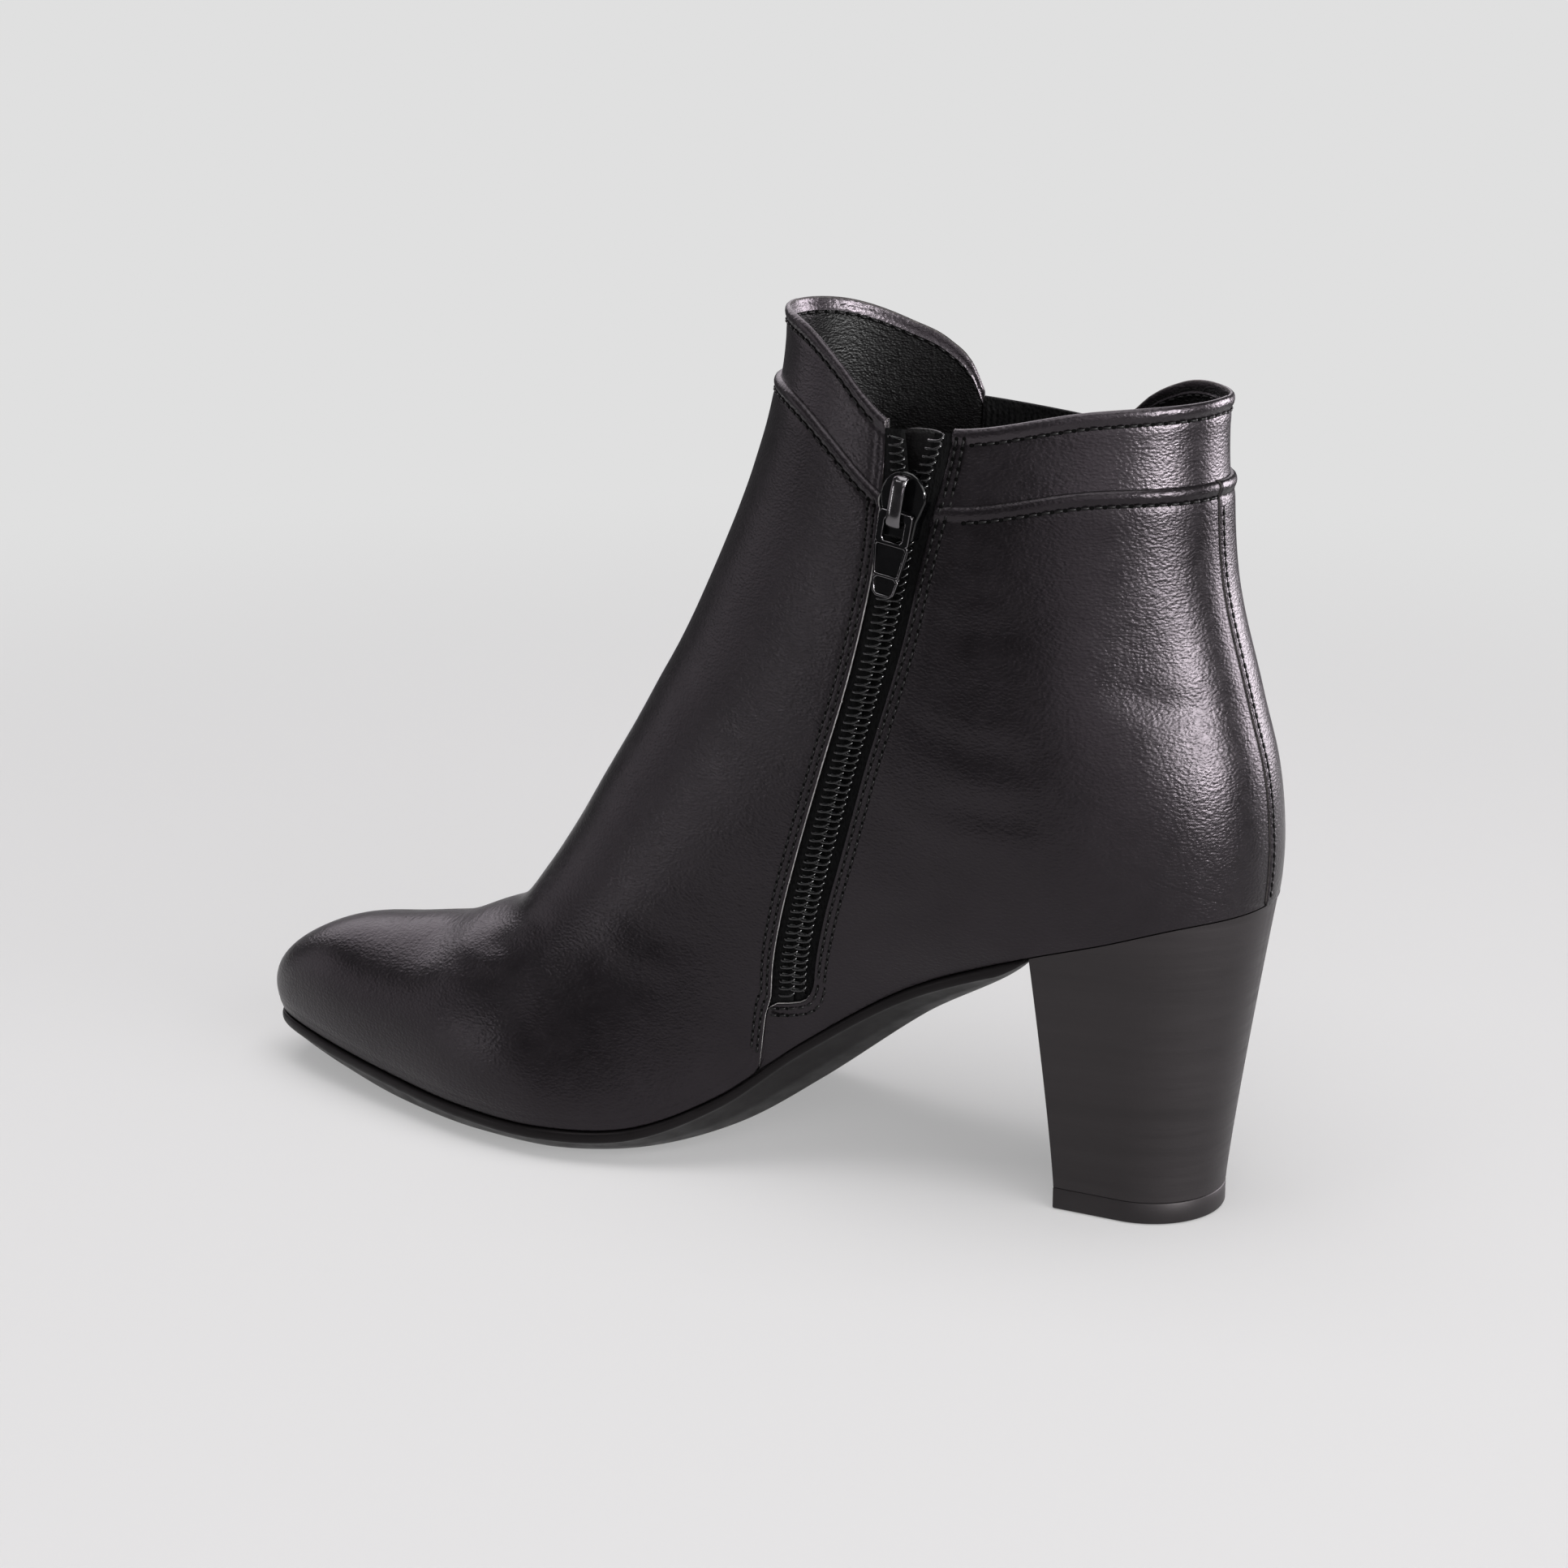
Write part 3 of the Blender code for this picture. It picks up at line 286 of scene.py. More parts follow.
# %% Lines of the pattern
CollarPoint = namedtuple("CollarPoint", "x collar band")
COLLAR = {
    INNER: [
        CollarPoint(-14, 173.2, 157.0),
        CollarPoint(8, 172.0, 156.6),
        CollarPoint(36, 167.4, 152.2),
        CollarPoint(51, 167.8, 152.8),
        CollarPoint(57, 172.2, 157.0),
        CollarPoint(64, 178.6, 162.8),
        CollarPoint(72, 184.0, 168.4),
        CollarPoint(80, 186.6, 171.8),
        CollarPoint(87, 187.6, 173.0),
    ],
    OUTER: [
        CollarPoint(-14, 173.0, 157.0),
        CollarPoint(4, 171.8, 156.6),
        CollarPoint(12, 168.0, 154.4),
        CollarPoint(18, 163.0, 153.0),
        CollarPoint(34, 160.0, 152.2),
        CollarPoint(49, 163.0, 152.8),
        CollarPoint(53, 172.0, 154.6),
        CollarPoint(58, 177.0, 157.8),
        CollarPoint(66, 181.2, 164.4),
        CollarPoint(78, 186.0, 171.2),
        CollarPoint(87, 187.6, 173.0),
    ],
}
SlotPoint = namedtuple("SlotPoint", "z front rear")
SLOT = [
    SlotPoint(41.0, 76.5, 67.0),
    SlotPoint(50.0, 75.7, 66.1),
    SlotPoint(60.0, 73.7, 63.9),
    SlotPoint(76.0, 69.4, 59.2),
    SlotPoint(92.0, 64.7, 54.6),
    SlotPoint(108.0, 59.8, 49.8),
    SlotPoint(124.0, 55.8, 45.4),
    SlotPoint(140.0, 52.9, 42.0),
    SlotPoint(154.0, 51.9, 38.8),
    SlotPoint(182.0, 51.6, 33.6),
]
GORE = [
    SlotPoint(96.0, 59.0, 45.0),
    SlotPoint(104.0, 58.6, 39.5),
    SlotPoint(124.0, 55.0, 29.5),
    SlotPoint(144.0, 52.0, 21.5),
    SlotPoint(164.0, 50.6, 16.0),
    SlotPoint(184.0, 50.0, 11.0),
]
SeamPoint = namedtuple("SeamPoint", "x z")
SEAM = {
    INNER: [SeamPoint(78.9, 29.0), SeamPoint(78.3, 34.0), SeamPoint(77.6, 38.6)],
    OUTER: [
        SeamPoint(77.0, 29.0),
        SeamPoint(74.6, 41.0),
        SeamPoint(71.0, 56.0),
        SeamPoint(66.6, 72.0),
        SeamPoint(61.6, 88.0),
    ],
}
CORNER = {
    INNER: [
        SeamPoint(75.4, 40.5),
        SeamPoint(72.6, 40.8),
        SeamPoint(70.0, 41.3),
        SeamPoint(68.3, 42.3),
        SeamPoint(67.3, 44.2),
    ],
    OUTER: [SeamPoint(59.4, 95.2), SeamPoint(57.0, 96.2), SeamPoint(51.0, 96.4), SeamPoint(46.4, 98.2)],
}
SEAM_START, CUT_TOP = 79.6, 177.0
CUT = {INNER: SLOT, OUTER: GORE}


# %% Edges as functions of the surface
def column(table, name):
    return np.array([getattr(row, name) for row in table], float)


def cut_x(table, z, name):
    """x of the front or rear edge of the zip slot or of the elastic at a height."""
    return smooth(z, column(table, "z"), column(table, name))


def sole_edge_at(x, side):
    """The s at which the sole edge passes that x."""
    s = np.arange(ROW["ball"], BREAST, 0.01)
    return float(np.interp(-x, -skin(s, 0.0, side)[:, 0], s))


def edge_line(side, name):
    """t of a panel's edge as a function of s: up the seam, then along the zip or the elastic."""
    cut = CUT[side]
    bends = SEAM[side] + (CORNER[side] if name == "rear" else [])
    first = cut[0].z if name == "front" else bends[-1].z + 2.0
    heights = np.linspace(first, CUT_TOP, 2400)
    x = np.concatenate([column(bends, "x"), cut_x(cut, heights, name)])
    z = np.concatenate([column(bends, "z"), heights])
    s, t = find(x, z, side)
    order = np.argsort(s)
    s = np.concatenate([[sole_edge_at(SEAM_START, side)], s[order]])
    t = np.concatenate([[0.0], t[order]])
    return lambda at: np.interp(at, s, t, left=0.0)


FRONT_EDGE = {side: edge_line(side, "front") for side in (INNER, OUTER)}
REAR_EDGE = {side: edge_line(side, "rear") for side in (INNER, OUTER)}


def height_line(side, name):
    """s of the collar edge or of the band's lower edge as a function of t."""
    table = COLLAR[side]
    t = np.linspace(0, 1, 201)
    low, high = np.full_like(t, ROW["counter"]), np.full_like(t, ROW["above collar"])
    for _ in range(40):
        middle = (low + high) / 2
        point = skin(middle, t, side)
        under = point[:, 2] < smooth(point[:, 0], column(table, "x"), column(table, name))
        low, high = np.where(under, middle, low), np.where(under, high, middle)
    s = (low + high) / 2
    return lambda at: np.interp(at, t, s)


COLLAR_LINE = {side: height_line(side, "collar") for side in (INNER, OUTER)}
BAND_LINE = {side: height_line(side, "band") for side in (INNER, OUTER)}
print("seam leaves the sole at s", round(sole_edge_at(SEAM_START, INNER), 2))

# %% [markdown]
# ## Finishes
# The boot is black all over, so the finishes differ by gloss and grain and not by colour. Each one is a
# Principled shader with noise or Voronoi layers that feed its bump and roughness, because a grain made of
# real bumps would need millions of faces. Sizes of the grain are in metres of the object, so they stay
# the same on every panel. The collar bands are cut from the same leather, a little glossier from
# handling, and the metal of the zip is black lacquer over black nickel, which shows where the lacquer is
# worn.


# %% Helpers for finishes
def finish(name, colour, roughness, **sockets):
    """A Principled material; sockets that stay the same all over are set on the shader itself."""
    mat = bpy.data.materials.new(name)
    mat.use_nodes = True
    shader = mat.node_tree.nodes["Principled BSDF"]
    shader.inputs["Base Color"].default_value = (*colour, 1)
    shader.inputs["Roughness"].default_value = roughness
    for socket, value in sockets.items():
        shader.inputs[socket.replace("_", " ")].default_value = value
    return mat


def node(mat, kind, **values):
    made = mat.node_tree.nodes.new(kind)
    for key, value in values.items():
        if key in made.inputs:
            made.inputs[key].default_value = value
        else:
            setattr(made, key, value)
    return made


def link(mat, source, target):
    mat.node_tree.links.new(source, target)


# %% Patterns in the object's own coordinates
def stretched(mat, scale):
    """Object coordinates, stretched by a different number along each axis."""
    place = node(mat, "ShaderNodeMapping")
    place.inputs["Scale"].default_value = scale
    link(mat, node(mat, "ShaderNodeTexCoord").outputs["Object"], place.inputs["Vector"])
    return place.outputs["Vector"]


def noise(mat, scale, detail=3.0, stretch=(1, 1, 1), roughness=0.55):
    made = node(mat, "ShaderNodeTexNoise", Scale=scale, Detail=detail, Roughness=roughness)
    link(mat, stretched(mat, stretch), made.inputs["Vector"])
    return made.outputs["Fac"]


def cells(mat, scale, stretch=(1, 1, 1), feature="F1"):
    made = node(mat, "ShaderNodeTexVoronoi", Scale=scale, feature=feature)
    link(mat, stretched(mat, stretch), made.inputs["Vector"])
    return made.outputs["Distance"]


def patch(mat, centre, reach):
    """1 at a place on the last, fading to 0 a reach away, both in millimetres."""
    place = node(mat, "ShaderNodeMapping")
    place.inputs["Location"].default_value = -(np.array(centre) + SHIFT) / reach
    place.inputs["Scale"].default_value = np.full(3, 1 / (reach * MM))
    link(mat, node(mat, "ShaderNodeTexCoord").outputs["Object"], place.inputs["Vector"])
    made = node(mat, "ShaderNodeTexGradient", gradient_type="SPHERICAL")
    link(mat, place.outputs["Vector"], made.inputs["Vector"])
    return made.outputs["Fac"]


# %% What the patterns act on
def bump(mat, height, strength, depth, only=None):
    """Adds one bump layer to those that are there already; only is a patch that it is kept to."""
    shader = mat.node_tree.nodes["Principled BSDF"]
    made = node(mat, "ShaderNodeBump", Strength=strength, Distance=depth * MM)
    link(mat, height, made.inputs["Height"])
    if only:
        link(mat, only, made.inputs["Strength"])
    before = shader.inputs["Normal"].links
    if before:
        link(mat, before[0].from_socket, made.inputs["Normal"])
    link(mat, made.outputs["Normal"], shader.inputs["Normal"])


def vary(mat, height, low, high):
    """Roughness that wanders between two values."""
    span = {"From Min": 0.3, "From Max": 0.7, "To Min": low, "To Max": high}
    made = node(mat, "ShaderNodeMapRange", **span)
    link(mat, height, made.inputs["Value"])
    link(mat, made.outputs["Result"], mat.node_tree.nodes["Principled BSDF"].inputs["Roughness"])


def shade(mat, height, dark, light):
    """Base colour between two shades."""
    ramp = node(mat, "ShaderNodeValToRGB")
    ramp.color_ramp.elements[0].position, ramp.color_ramp.elements[1].position = 0.3, 0.7
    ramp.color_ramp.elements[0].color, ramp.color_ramp.elements[1].color = (*dark, 1), (*light, 1)
    link(mat, height, ramp.inputs["Fac"])
    link(mat, ramp.outputs["Color"], mat.node_tree.nodes["Principled BSDF"].inputs["Base Color"])


# %% Leather, lining and edge
PLUM_GLOSS, WARM_GLOSS = (1.0, 0.885, 0.975, 1), (1.0, 0.92, 0.95, 1)
THROAT, THROAT_REACH = (163, 6, 43), 26.0


def leather_finish(name, gloss):
    mat = finish(name, (0.006, 0.0051, 0.0058), 0.3, Specular_IOR_Level=gloss, Specular_Tint=PLUM_GLOSS)
    shade(mat, noise(mat, 60, 4), (0.004, 0.0034, 0.0039), (0.0085, 0.0072, 0.0083))
    vary(mat, noise(mat, 240, 4), 0.28, 0.35)
    bump(mat, noise(mat, 1700, 3, (1, 1, 1.5)), 0.6, 0.1)
    bump(mat, cells(mat, 1250, (1, 1, 1.7), "SMOOTH_F1"), 0.6, 0.13)
    bump(mat, noise(mat, 520, 4, (0.8, 0.8, 1.6)), 0.18, 0.18)
    bump(mat, noise(mat, 380, 5, (2.2, 0.7, 0.9)), 1.0, 0.3, patch(mat, THROAT, THROAT_REACH))
    return mat


def lining_finish():
    mat = finish("pebbled_lining", (0.004, 0.0035, 0.0038), 0.45, Specular_IOR_Level=0.2)
    shade(mat, noise(mat, 120, 3), (0.0026, 0.0023, 0.0025), (0.0055, 0.0048, 0.0052))
    vary(mat, noise(mat, 500, 3), 0.36, 0.52)
    bump(mat, cells(mat, 1900, (1, 1, 1.5), "SMOOTH_F1"), 0.75, 0.16)
    bump(mat, noise(mat, 700, 4, (1, 1, 1.8)), 0.5, 0.25)
    return mat


def cut_edge_finish(name, dark, light):
    mat = finish(name, light, 0.7)
    shade(mat, noise(mat, 900, 3), dark, light)
    bump(mat, noise(mat, 2500, 3), 0.5, 0.1)
    return mat


LEATHER, BAND_LEATHER = leather_finish("satin_leather", 0.33), leather_finish("band_leather", 0.5)
LINING = lining_finish()
RAW_EDGE = cut_edge_finish("raw_edge", (0.4, 0.38, 0.38), (0.86, 0.83, 0.82))
RIM_EDGE = cut_edge_finish("painted_rim_edge", (0.012, 0.01, 0.01), (0.09, 0.076, 0.07))


# %% Thread, tape, coil and metal
def thread_finish():
    mat = finish("waxed_thread", (0.006, 0.0052, 0.0058), 0.45, Specular_IOR_Level=0.2)
    shade(mat, noise(mat, 700, 2), (0.004, 0.0035, 0.004), (0.009, 0.008, 0.0086))
    bump(mat, noise(mat, 4000, 2, (1, 1, 0.3)), 0.4, 0.05)
    return mat


def tape_finish():
    mat = finish("woven_tape", (0.004, 0.004, 0.0044), 0.85, Specular_IOR_Level=0.1)
    shade(mat, cells(mat, 1900, (1, 1, 0.5)), (0.003, 0.003, 0.0032), (0.006, 0.006, 0.0064))
    bump(mat, cells(mat, 1900, (1, 1, 0.5)), 0.7, 0.2)
    return mat


def coil_finish():
    mat = finish("nylon_coil", (0.006, 0.006, 0.0065), 0.16, Specular_IOR_Level=0.6)
    shade(mat, noise(mat, 500, 2), (0.005, 0.005, 0.0055), (0.008, 0.008, 0.0085))
    vary(mat, noise(mat, 900, 2), 0.1, 0.2)
    bump(mat, noise(mat, 3000, 2), 0.1, 0.02)
    return mat


def lacquer_finish():
    mat = finish("black_lacquer", (0.003, 0.003, 0.0034), 0.1, Specular_IOR_Level=0.45)
    shade(mat, noise(mat, 300, 2), (0.002, 0.002, 0.0024), (0.004, 0.004, 0.0045))
    vary(mat, noise(mat, 300, 3), 0.06, 0.13)
    bump(mat, noise(mat, 500, 2), 0.1, 0.03)
    return mat


def nickel_finish():
    mat = finish("black_nickel", (0.13, 0.125, 0.13), 0.16, Metallic=1.0)
    shade(mat, noise(mat, 300, 2), (0.11, 0.106, 0.11), (0.15, 0.144, 0.15))
    vary(mat, noise(mat, 300, 3), 0.12, 0.2)
    bump(mat, noise(mat, 500, 2), 0.1, 0.03)
    return mat


def elastic_finish():
    mat = finish("ribbed_elastic", (0.004, 0.004, 0.0043), 0.7, Specular_IOR_Level=0.14)
    shade(mat, cells(mat, 1500, (1, 1, 0.7)), (0.0025, 0.0025, 0.0028), (0.0065, 0.0062, 0.0065))
    bump(mat, cells(mat, 1500, (1, 1, 0.7)), 0.7, 0.25)
    return mat


# Painted shade: a near-black matt finish for the flat discs that stand in for the shade inside needle holes.
def hole_shade_finish():
    mat = finish("painted_hole_shade", (0.002, 0.002, 0.002), 0.9, Specular_IOR_Level=0.05)
    shade(mat, noise(mat, 2000, 2), (0.001, 0.001, 0.001), (0.003, 0.003, 0.003))
    return mat


THREAD, TAPE, COIL = thread_finish(), tape_finish(), coil_finish()
HOLE_SHADE = hole_shade_finish()
LACQUER, NICKEL, ELASTIC = lacquer_finish(), nickel_finish(), elastic_finish()


# %% Sole, heel and sock
def sole_finish():
    mat = finish(
        "sole_rubber", (0.005, 0.0044, 0.0046), 0.42, Specular_IOR_Level=0.15, Specular_Tint=WARM_GLOSS
    )
    shade(mat, noise(mat, 40, 3), (0.0035, 0.003, 0.0032), (0.0065, 0.0057, 0.006))
    vary(mat, noise(mat, 200, 3), 0.34, 0.48)
    bump(mat, noise(mat, 1200, 3), 0.3, 0.05)
    return mat


def heel_finish():
    mat = finish(
        "stacked_heel", (0.014, 0.0122, 0.0128), 0.46, Specular_IOR_Level=0.36, Specular_Tint=WARM_GLOSS
    )
    shade(mat, noise(mat, 14, 4, (0.3, 0.3, 12)), (0.011, 0.0096, 0.01), (0.018, 0.0157, 0.0164))
    vary(mat, noise(mat, 60, 4, (0.5, 0.5, 8)), 0.4, 0.54)
    bump(mat, noise(mat, 40, 5, (0.25, 0.25, 16)), 0.35, 0.12)
    bump(mat, noise(mat, 1800, 2), 0.25, 0.04)
    return mat


def top_piece_finish():
    mat = finish(
        "top_piece_rubber", (0.013, 0.0116, 0.012), 0.5, Specular_IOR_Level=0.33, Specular_Tint=WARM_GLOSS
    )
    shade(mat, noise(mat, 80, 3), (0.01, 0.0089, 0.0093), (0.017, 0.0152, 0.0158))
    bump(mat, noise(mat, 1500, 3), 0.3, 0.06)
    return mat


def sock_finish():
    mat = finish("sock_lining", (0.02, 0.018, 0.018), 0.62)
    shade(mat, noise(mat, 90, 3), (0.015, 0.0135, 0.0135), (0.026, 0.024, 0.024))
    bump(mat, noise(mat, 1400, 3), 0.5, 0.15)
    return mat


SOLE_RUBBER, STACKED, SOCK = sole_finish(), heel_finish(), sock_finish()
TOP_RUBBER = top_piece_finish()
print("finishes:", len(bpy.data.materials))

# %% [markdown]
# ## From grids to meshes
# Most pieces are sheets: a grid of points with a finish and a few rolled edges. One helper turns a numpy
# grid into a smooth mesh, welds the points that fall together, and hands the piece to the frame, so every
# panel below is only a question of where its points lie.


# %% Mesh helpers
def piece(name, points, faces, mats, body="boot", stands_for=(), slot=None, face_mats=None):
    """A mesh object in the boot's frame from points in millimetres."""
    mesh = bpy.data.meshes.new(name)
    mesh.from_pydata(((np.asarray(points) + SHIFT) * MM).tolist(), [], [list(map(int, f)) for f in faces])
    for mat in mats:
        mesh.materials.append(mat)
    if face_mats is not None:
        mesh.polygons.foreach_set("material_index", np.asarray(face_mats, np.int32))
    mesh.shade_smooth()
    obj = bpy.data.objects.new(name, mesh)
    bpy.context.collection.objects.link(obj)
    return hand_over(obj, body, stands_for)


def hand_over(obj, body, stands_for=()):
    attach(obj, body)
    if stands_for:
        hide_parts(*stands_for)
    return obj


# %% Welding and rounding
def clean(obj, outward=False):
    """Welds points that fall together and drops faces that vanish."""
    bm = bmesh.new()
    bm.from_mesh(obj.data)
    bmesh.ops.remove_doubles(bm, verts=bm.verts, dist=0.004 * MM)
    bmesh.ops.dissolve_degenerate(bm, dist=0.002 * MM, edges=bm.edges)
    if outward:
        bmesh.ops.recalc_face_normals(bm, faces=bm.faces)
    bm.to_mesh(obj.data)
    bm.free()
    print(f"{obj.name}: {len(obj.data.polygons)} faces")
    return obj


def crisp(obj, angle=35):
    """Keeps edges sharper than an angle from being shaded round."""
    obj.data.set_sharp_from_angle(angle=math.radians(angle))
    return obj


def rounded(obj, width):
    """Small rounded edges on a cast or moulded piece, in its last finish, with flat faces kept flat."""
    rounding = obj.modifiers.new("rounded edges", "BEVEL")
    rounding.width = width * MM
    rounding.material = len(obj.data.materials) - 1
    rounding.segments = 3
    rounding.limit_method = "ANGLE"
    rounding.angle_limit = math.radians(40)
    flat = obj.modifiers.new("flat faces", "WEIGHTED_NORMAL")
    flat.keep_sharp = False
    return obj


# %% Grids
def grid_faces(rows, columns, turned=False, close=False):
    """Quads of a grid; close joins the last column to the first."""
    i, j = np.meshgrid(np.arange(rows - 1), np.arange(columns if close else columns - 1), indexing="ij")
    k = (j + 1) % columns
    quads = np.stack([i * columns + j, i * columns + k, (i + 1) * columns + k, (i + 1) * columns + j], -1)
    quads = quads.reshape(-1, 4)
    return quads[:, ::-1] if turned else quads


def closed_end(ring):
    """The middle of a ring, repeated as a ring of its own, so that a loft ends in a flat cap."""
    return np.repeat(ring.mean(axis=0)[None, None], len(ring), axis=1)


def sheet(name, grid, mats, turned=False, close=False, face_mats=None, **rest):
    """A piece from a grid of points (rows, columns, 3)."""
    rows, columns = grid.shape[:2]
    faces = grid_faces(rows, columns, turned, close)
    return clean(piece(name, grid.reshape(-1, 3), faces, mats, face_mats=face_mats, **rest))


# %% [markdown]
# ## Soft leather
# Smooth leather over a last isn't as even as a car body: it sinks between the stiffener and the lining,
# and it creases where a foot would bend it. A cloth simulation would do this blindly, so both are given
# one by one. A crease is a short line in side view with a depth and a width, drawn as a soft trough with a
# raised lip. A swell is a broad oval that rises or sinks: over the toe, where the leather dips behind the
# toe box, and behind the ankle, where two shallow hollows give the long highlight its shape.

# %% Creases placed one by one
Crease = namedtuple("Crease", "side start middle end depth width")
CREASES = [
    Crease(INNER, (150, 42), (143, 44), (134, 45), 0.30, 2.2),
    Crease(INNER, (146, 47), (139, 49), (130, 50), 0.28, 2.2),
    Crease(INNER, (159, 39), (152, 37.5), (144, 37), 0.20, 2.0),
    Crease(INNER, (122, 44), (112, 41), (102, 42), 0.35, 4.5),
    Crease(INNER, (114, 54), (104, 51), (92, 52), 0.30, 4.5),
    Crease(INNER, (44, 108), (30, 101), (14, 103), 0.28, 3.6),
    Crease(INNER, (42, 92), (28, 88), (10, 92), 0.25, 3.6),
    Crease(INNER, (40, 128), (24, 124), (6, 132), 0.22, 4.0),
    Crease(INNER, (2, 118), (-8, 112), (-16, 114), 0.20, 3.0),
    Crease(INNER, (60, 60), (48, 63), (36, 70), 0.22, 4.0),
    Crease(OUTER, (150, 42), (143, 44), (134, 45), 0.30, 2.2),
    Crease(OUTER, (146, 47), (138, 49), (128, 50), 0.28, 2.4),
    Crease(OUTER, (122, 44), (110, 41), (98, 43), 0.35, 4.5),
    Crease(OUTER, (40, 92), (28, 87), (10, 90), 0.25, 3.8),
    Crease(OUTER, (18, 118), (4, 112), (-12, 114), 0.22, 3.6),
    Crease(OUTER, (60, 62), (46, 66), (34, 74), 0.22, 4.0),
]


Swell = namedtuple("Swell", "x z reach_x reach_z height")
SWELLS = [
    Swell(179, 39, 17, 8, -1.9),
    Swell(165.5, 43, 9, 8, -1.8),
    Swell(150, 47, 8, 8, -0.8),
    Swell(87, 168, 10, 15, -0.8),
    Swell(-4, 120.8, 10.8, 13.7, -1.7),
    Swell(-13, 107.4, 8, 11.8, -0.8),
]


# %% Lift of the leather
def relief(points, side):
    """Lift of the leather over the last: a slow waver, broad swells and the creases of that side."""
    x, y, z = points[..., 0], points[..., 1], points[..., 2]
    waver = np.sin(x / 9.1 + z / 13.0) * np.sin(z / 8.3 - y / 11.0) + 0.7 * np.sin(x / 17.0 - z / 6.7 + 1.3)
    lift = 0.06 * waver * np.clip((z - 12) / 30, 0.2, 1)
    for swell in SWELLS:
        away = ((x - swell.x) / swell.reach_x) ** 2 + ((z - swell.z) / swell.reach_z) ** 2
        lift = lift + swell.height * np.exp(-away)
    for crease in CREASES:
        if crease.side != side:
            continue
        u = np.linspace(0, 1, 25)[:, None]
        a, b, c = (np.array(p, float) for p in (crease.start, crease.middle, crease.end))
        path = (1 - u) ** 2 * a + 2 * u * (1 - u) * b + u**2 * c
        gap = np.stack([np.hypot(x - px, z - pz) for px, pz in path])
        nearest = gap.argmin(axis=0)
        away = gap.min(axis=0) / crease.width
        fade = np.sin(np.pi * np.clip(nearest / 24, 0.02, 0.98)) ** 0.7
        lift = lift + crease.depth * fade * (0.45 * np.exp(-((away - 1.5) ** 2)) - np.exp(-(away**2)))
    return lift


print("creases:", len(CREASES))

# %% [markdown]
# ## Laying out a half panel
# A panel is laid out on one side of the boot at a time, from its edge at the zip, the elastic or the sole
# to the middle line. Rows run up the boot and columns across it. Near an edge the columns and rows keep
# real distances, so a folded edge, a bead or a stitch groove has the same size all along it, and in
# between they spread evenly.

# %% Layout of a half panel
EdgeStep = namedtuple("EdgeStep", "away lift")


def profile(*steps):
    """Edge steps in order: the distance from the edge and the lift there."""
    return [EdgeStep(*step) for step in steps]


FOLD = profile(
    (0.0, -1.5), (0.0, -0.6), (0.02, -0.12), (0.16, -0.03), (0.4, 0.0), (0.75, 0.0), (1.1, -0.05),
    (1.5, 0.0), (1.9, 0.02), (2.35, 0.0), (2.7, -0.06), (3.1, 0.0), (4.6, 0.0),
)
BEAD = profile(
    (6.5, 0.0), (5.0, -0.02), (4.2, -0.08), (3.7, -0.18), (3.3, -0.24), (2.9, -0.16), (2.5, 0.06),
    (2.0, 0.26), (1.5, 0.34), (1.0, 0.28), (0.55, 0.1), (0.2, -0.25), (0.02, -0.8), (0.3, -1.5),
)
ROW_STEP, DEEPEST, FIRST_TOP, FIRST_BEAD = 1.35, -2.7, 19.0, 19.5


# %% Distances on the skin
def mm_per_s(s, t, side):
    return np.linalg.norm(skin(s + 0.02, t, side) - skin(s - 0.02, t, side), axis=-1) / 0.04


def mm_per_t(s, t, side):
    low, high = np.maximum(t - 0.01, 0), np.minimum(t + 0.01, 1)
    return np.linalg.norm(skin(s, high, side) - skin(s, low, side), axis=-1) / (high - low)


def even_rows(first, last, t, side):
    """Places from first to last about ROW_STEP apart along one line of the skin."""
    s = np.linspace(first, last, 800)
    length = length_along(skin(s, t, side))
    count = max(2, round(length[-1] / ROW_STEP))
    return np.interp(np.linspace(0, length[-1], count), length, s)


# %% A half panel
Half = namedtuple("Half", "s t lift")


def half_panel(side, edge, middle, lower, upper, top, bead, columns, fold=FOLD):
    """One half of a panel: s, t and lift for every row and column, from the edge (column 0) to the middle."""
    lower = np.asarray(lower, float)
    shares = np.linspace(0, 1, upper + 1)[1:] if upper else np.array([])
    rows = len(lower) + len(shares) + len(bead)
    spread = np.linspace(0, 1, columns + 1)[1:]
    away = np.array([step.away for step in fold])
    zone = away[-1]
    start = lower[-1]
    s = np.concatenate([lower, start + (FIRST_TOP - start) * shares, np.full(len(bead), FIRST_BEAD)])
    s = np.repeat(s[:, None], len(fold) + columns, axis=1)
    for _ in range(7):
        at_edge = edge(s)
        way = np.sign(middle - at_edge + 1e-9)
        width = np.abs(middle - at_edge) * mm_per_t(s, (at_edge + middle) / 2, side)
        near = np.clip(away / mm_per_t(s[:, : len(fold)], at_edge[:, : len(fold)], side), 0, 1)
        near = near * np.minimum(1, width[:, : len(fold)] / (2.2 * zone))
        t_near = at_edge[:, : len(fold)] + way[:, : len(fold)] * near
        reach = t_near[:, -1:]
        t_far = reach + (middle - reach) * spread
        t = np.clip(np.concatenate([t_near, t_far], axis=1), 0, 1)
        limit = top(t)
        scale = mm_per_s(limit, t, side)
        for k, share in enumerate(shares):
            i = len(lower) + k
            s[i] = start + (limit[i] - bead[0].away / scale[i] - start) * share
        for k, step in enumerate(bead):
            i = len(lower) + len(shares) + k
            s[i] = limit[i] - step.away / scale[i]
    lift = np.zeros((rows, len(fold) + columns))
    lift[:, : len(fold)] += np.array([step.lift for step in fold])
    if bead:
        lift[-len(bead) :] += np.array([step.lift for step in bead])[:, None]
    return Half(s, t, np.maximum(lift, DEEPEST))


def lay(half, side, base=0.0, soft=1.0):
    """The points of a half panel, lifted off the last."""
    points = skin(half.s, half.t, side)
    lift = half.lift + base + soft * relief(points, side)
    return points + lift[..., None] * skin_normal(half.s, half.t, side)


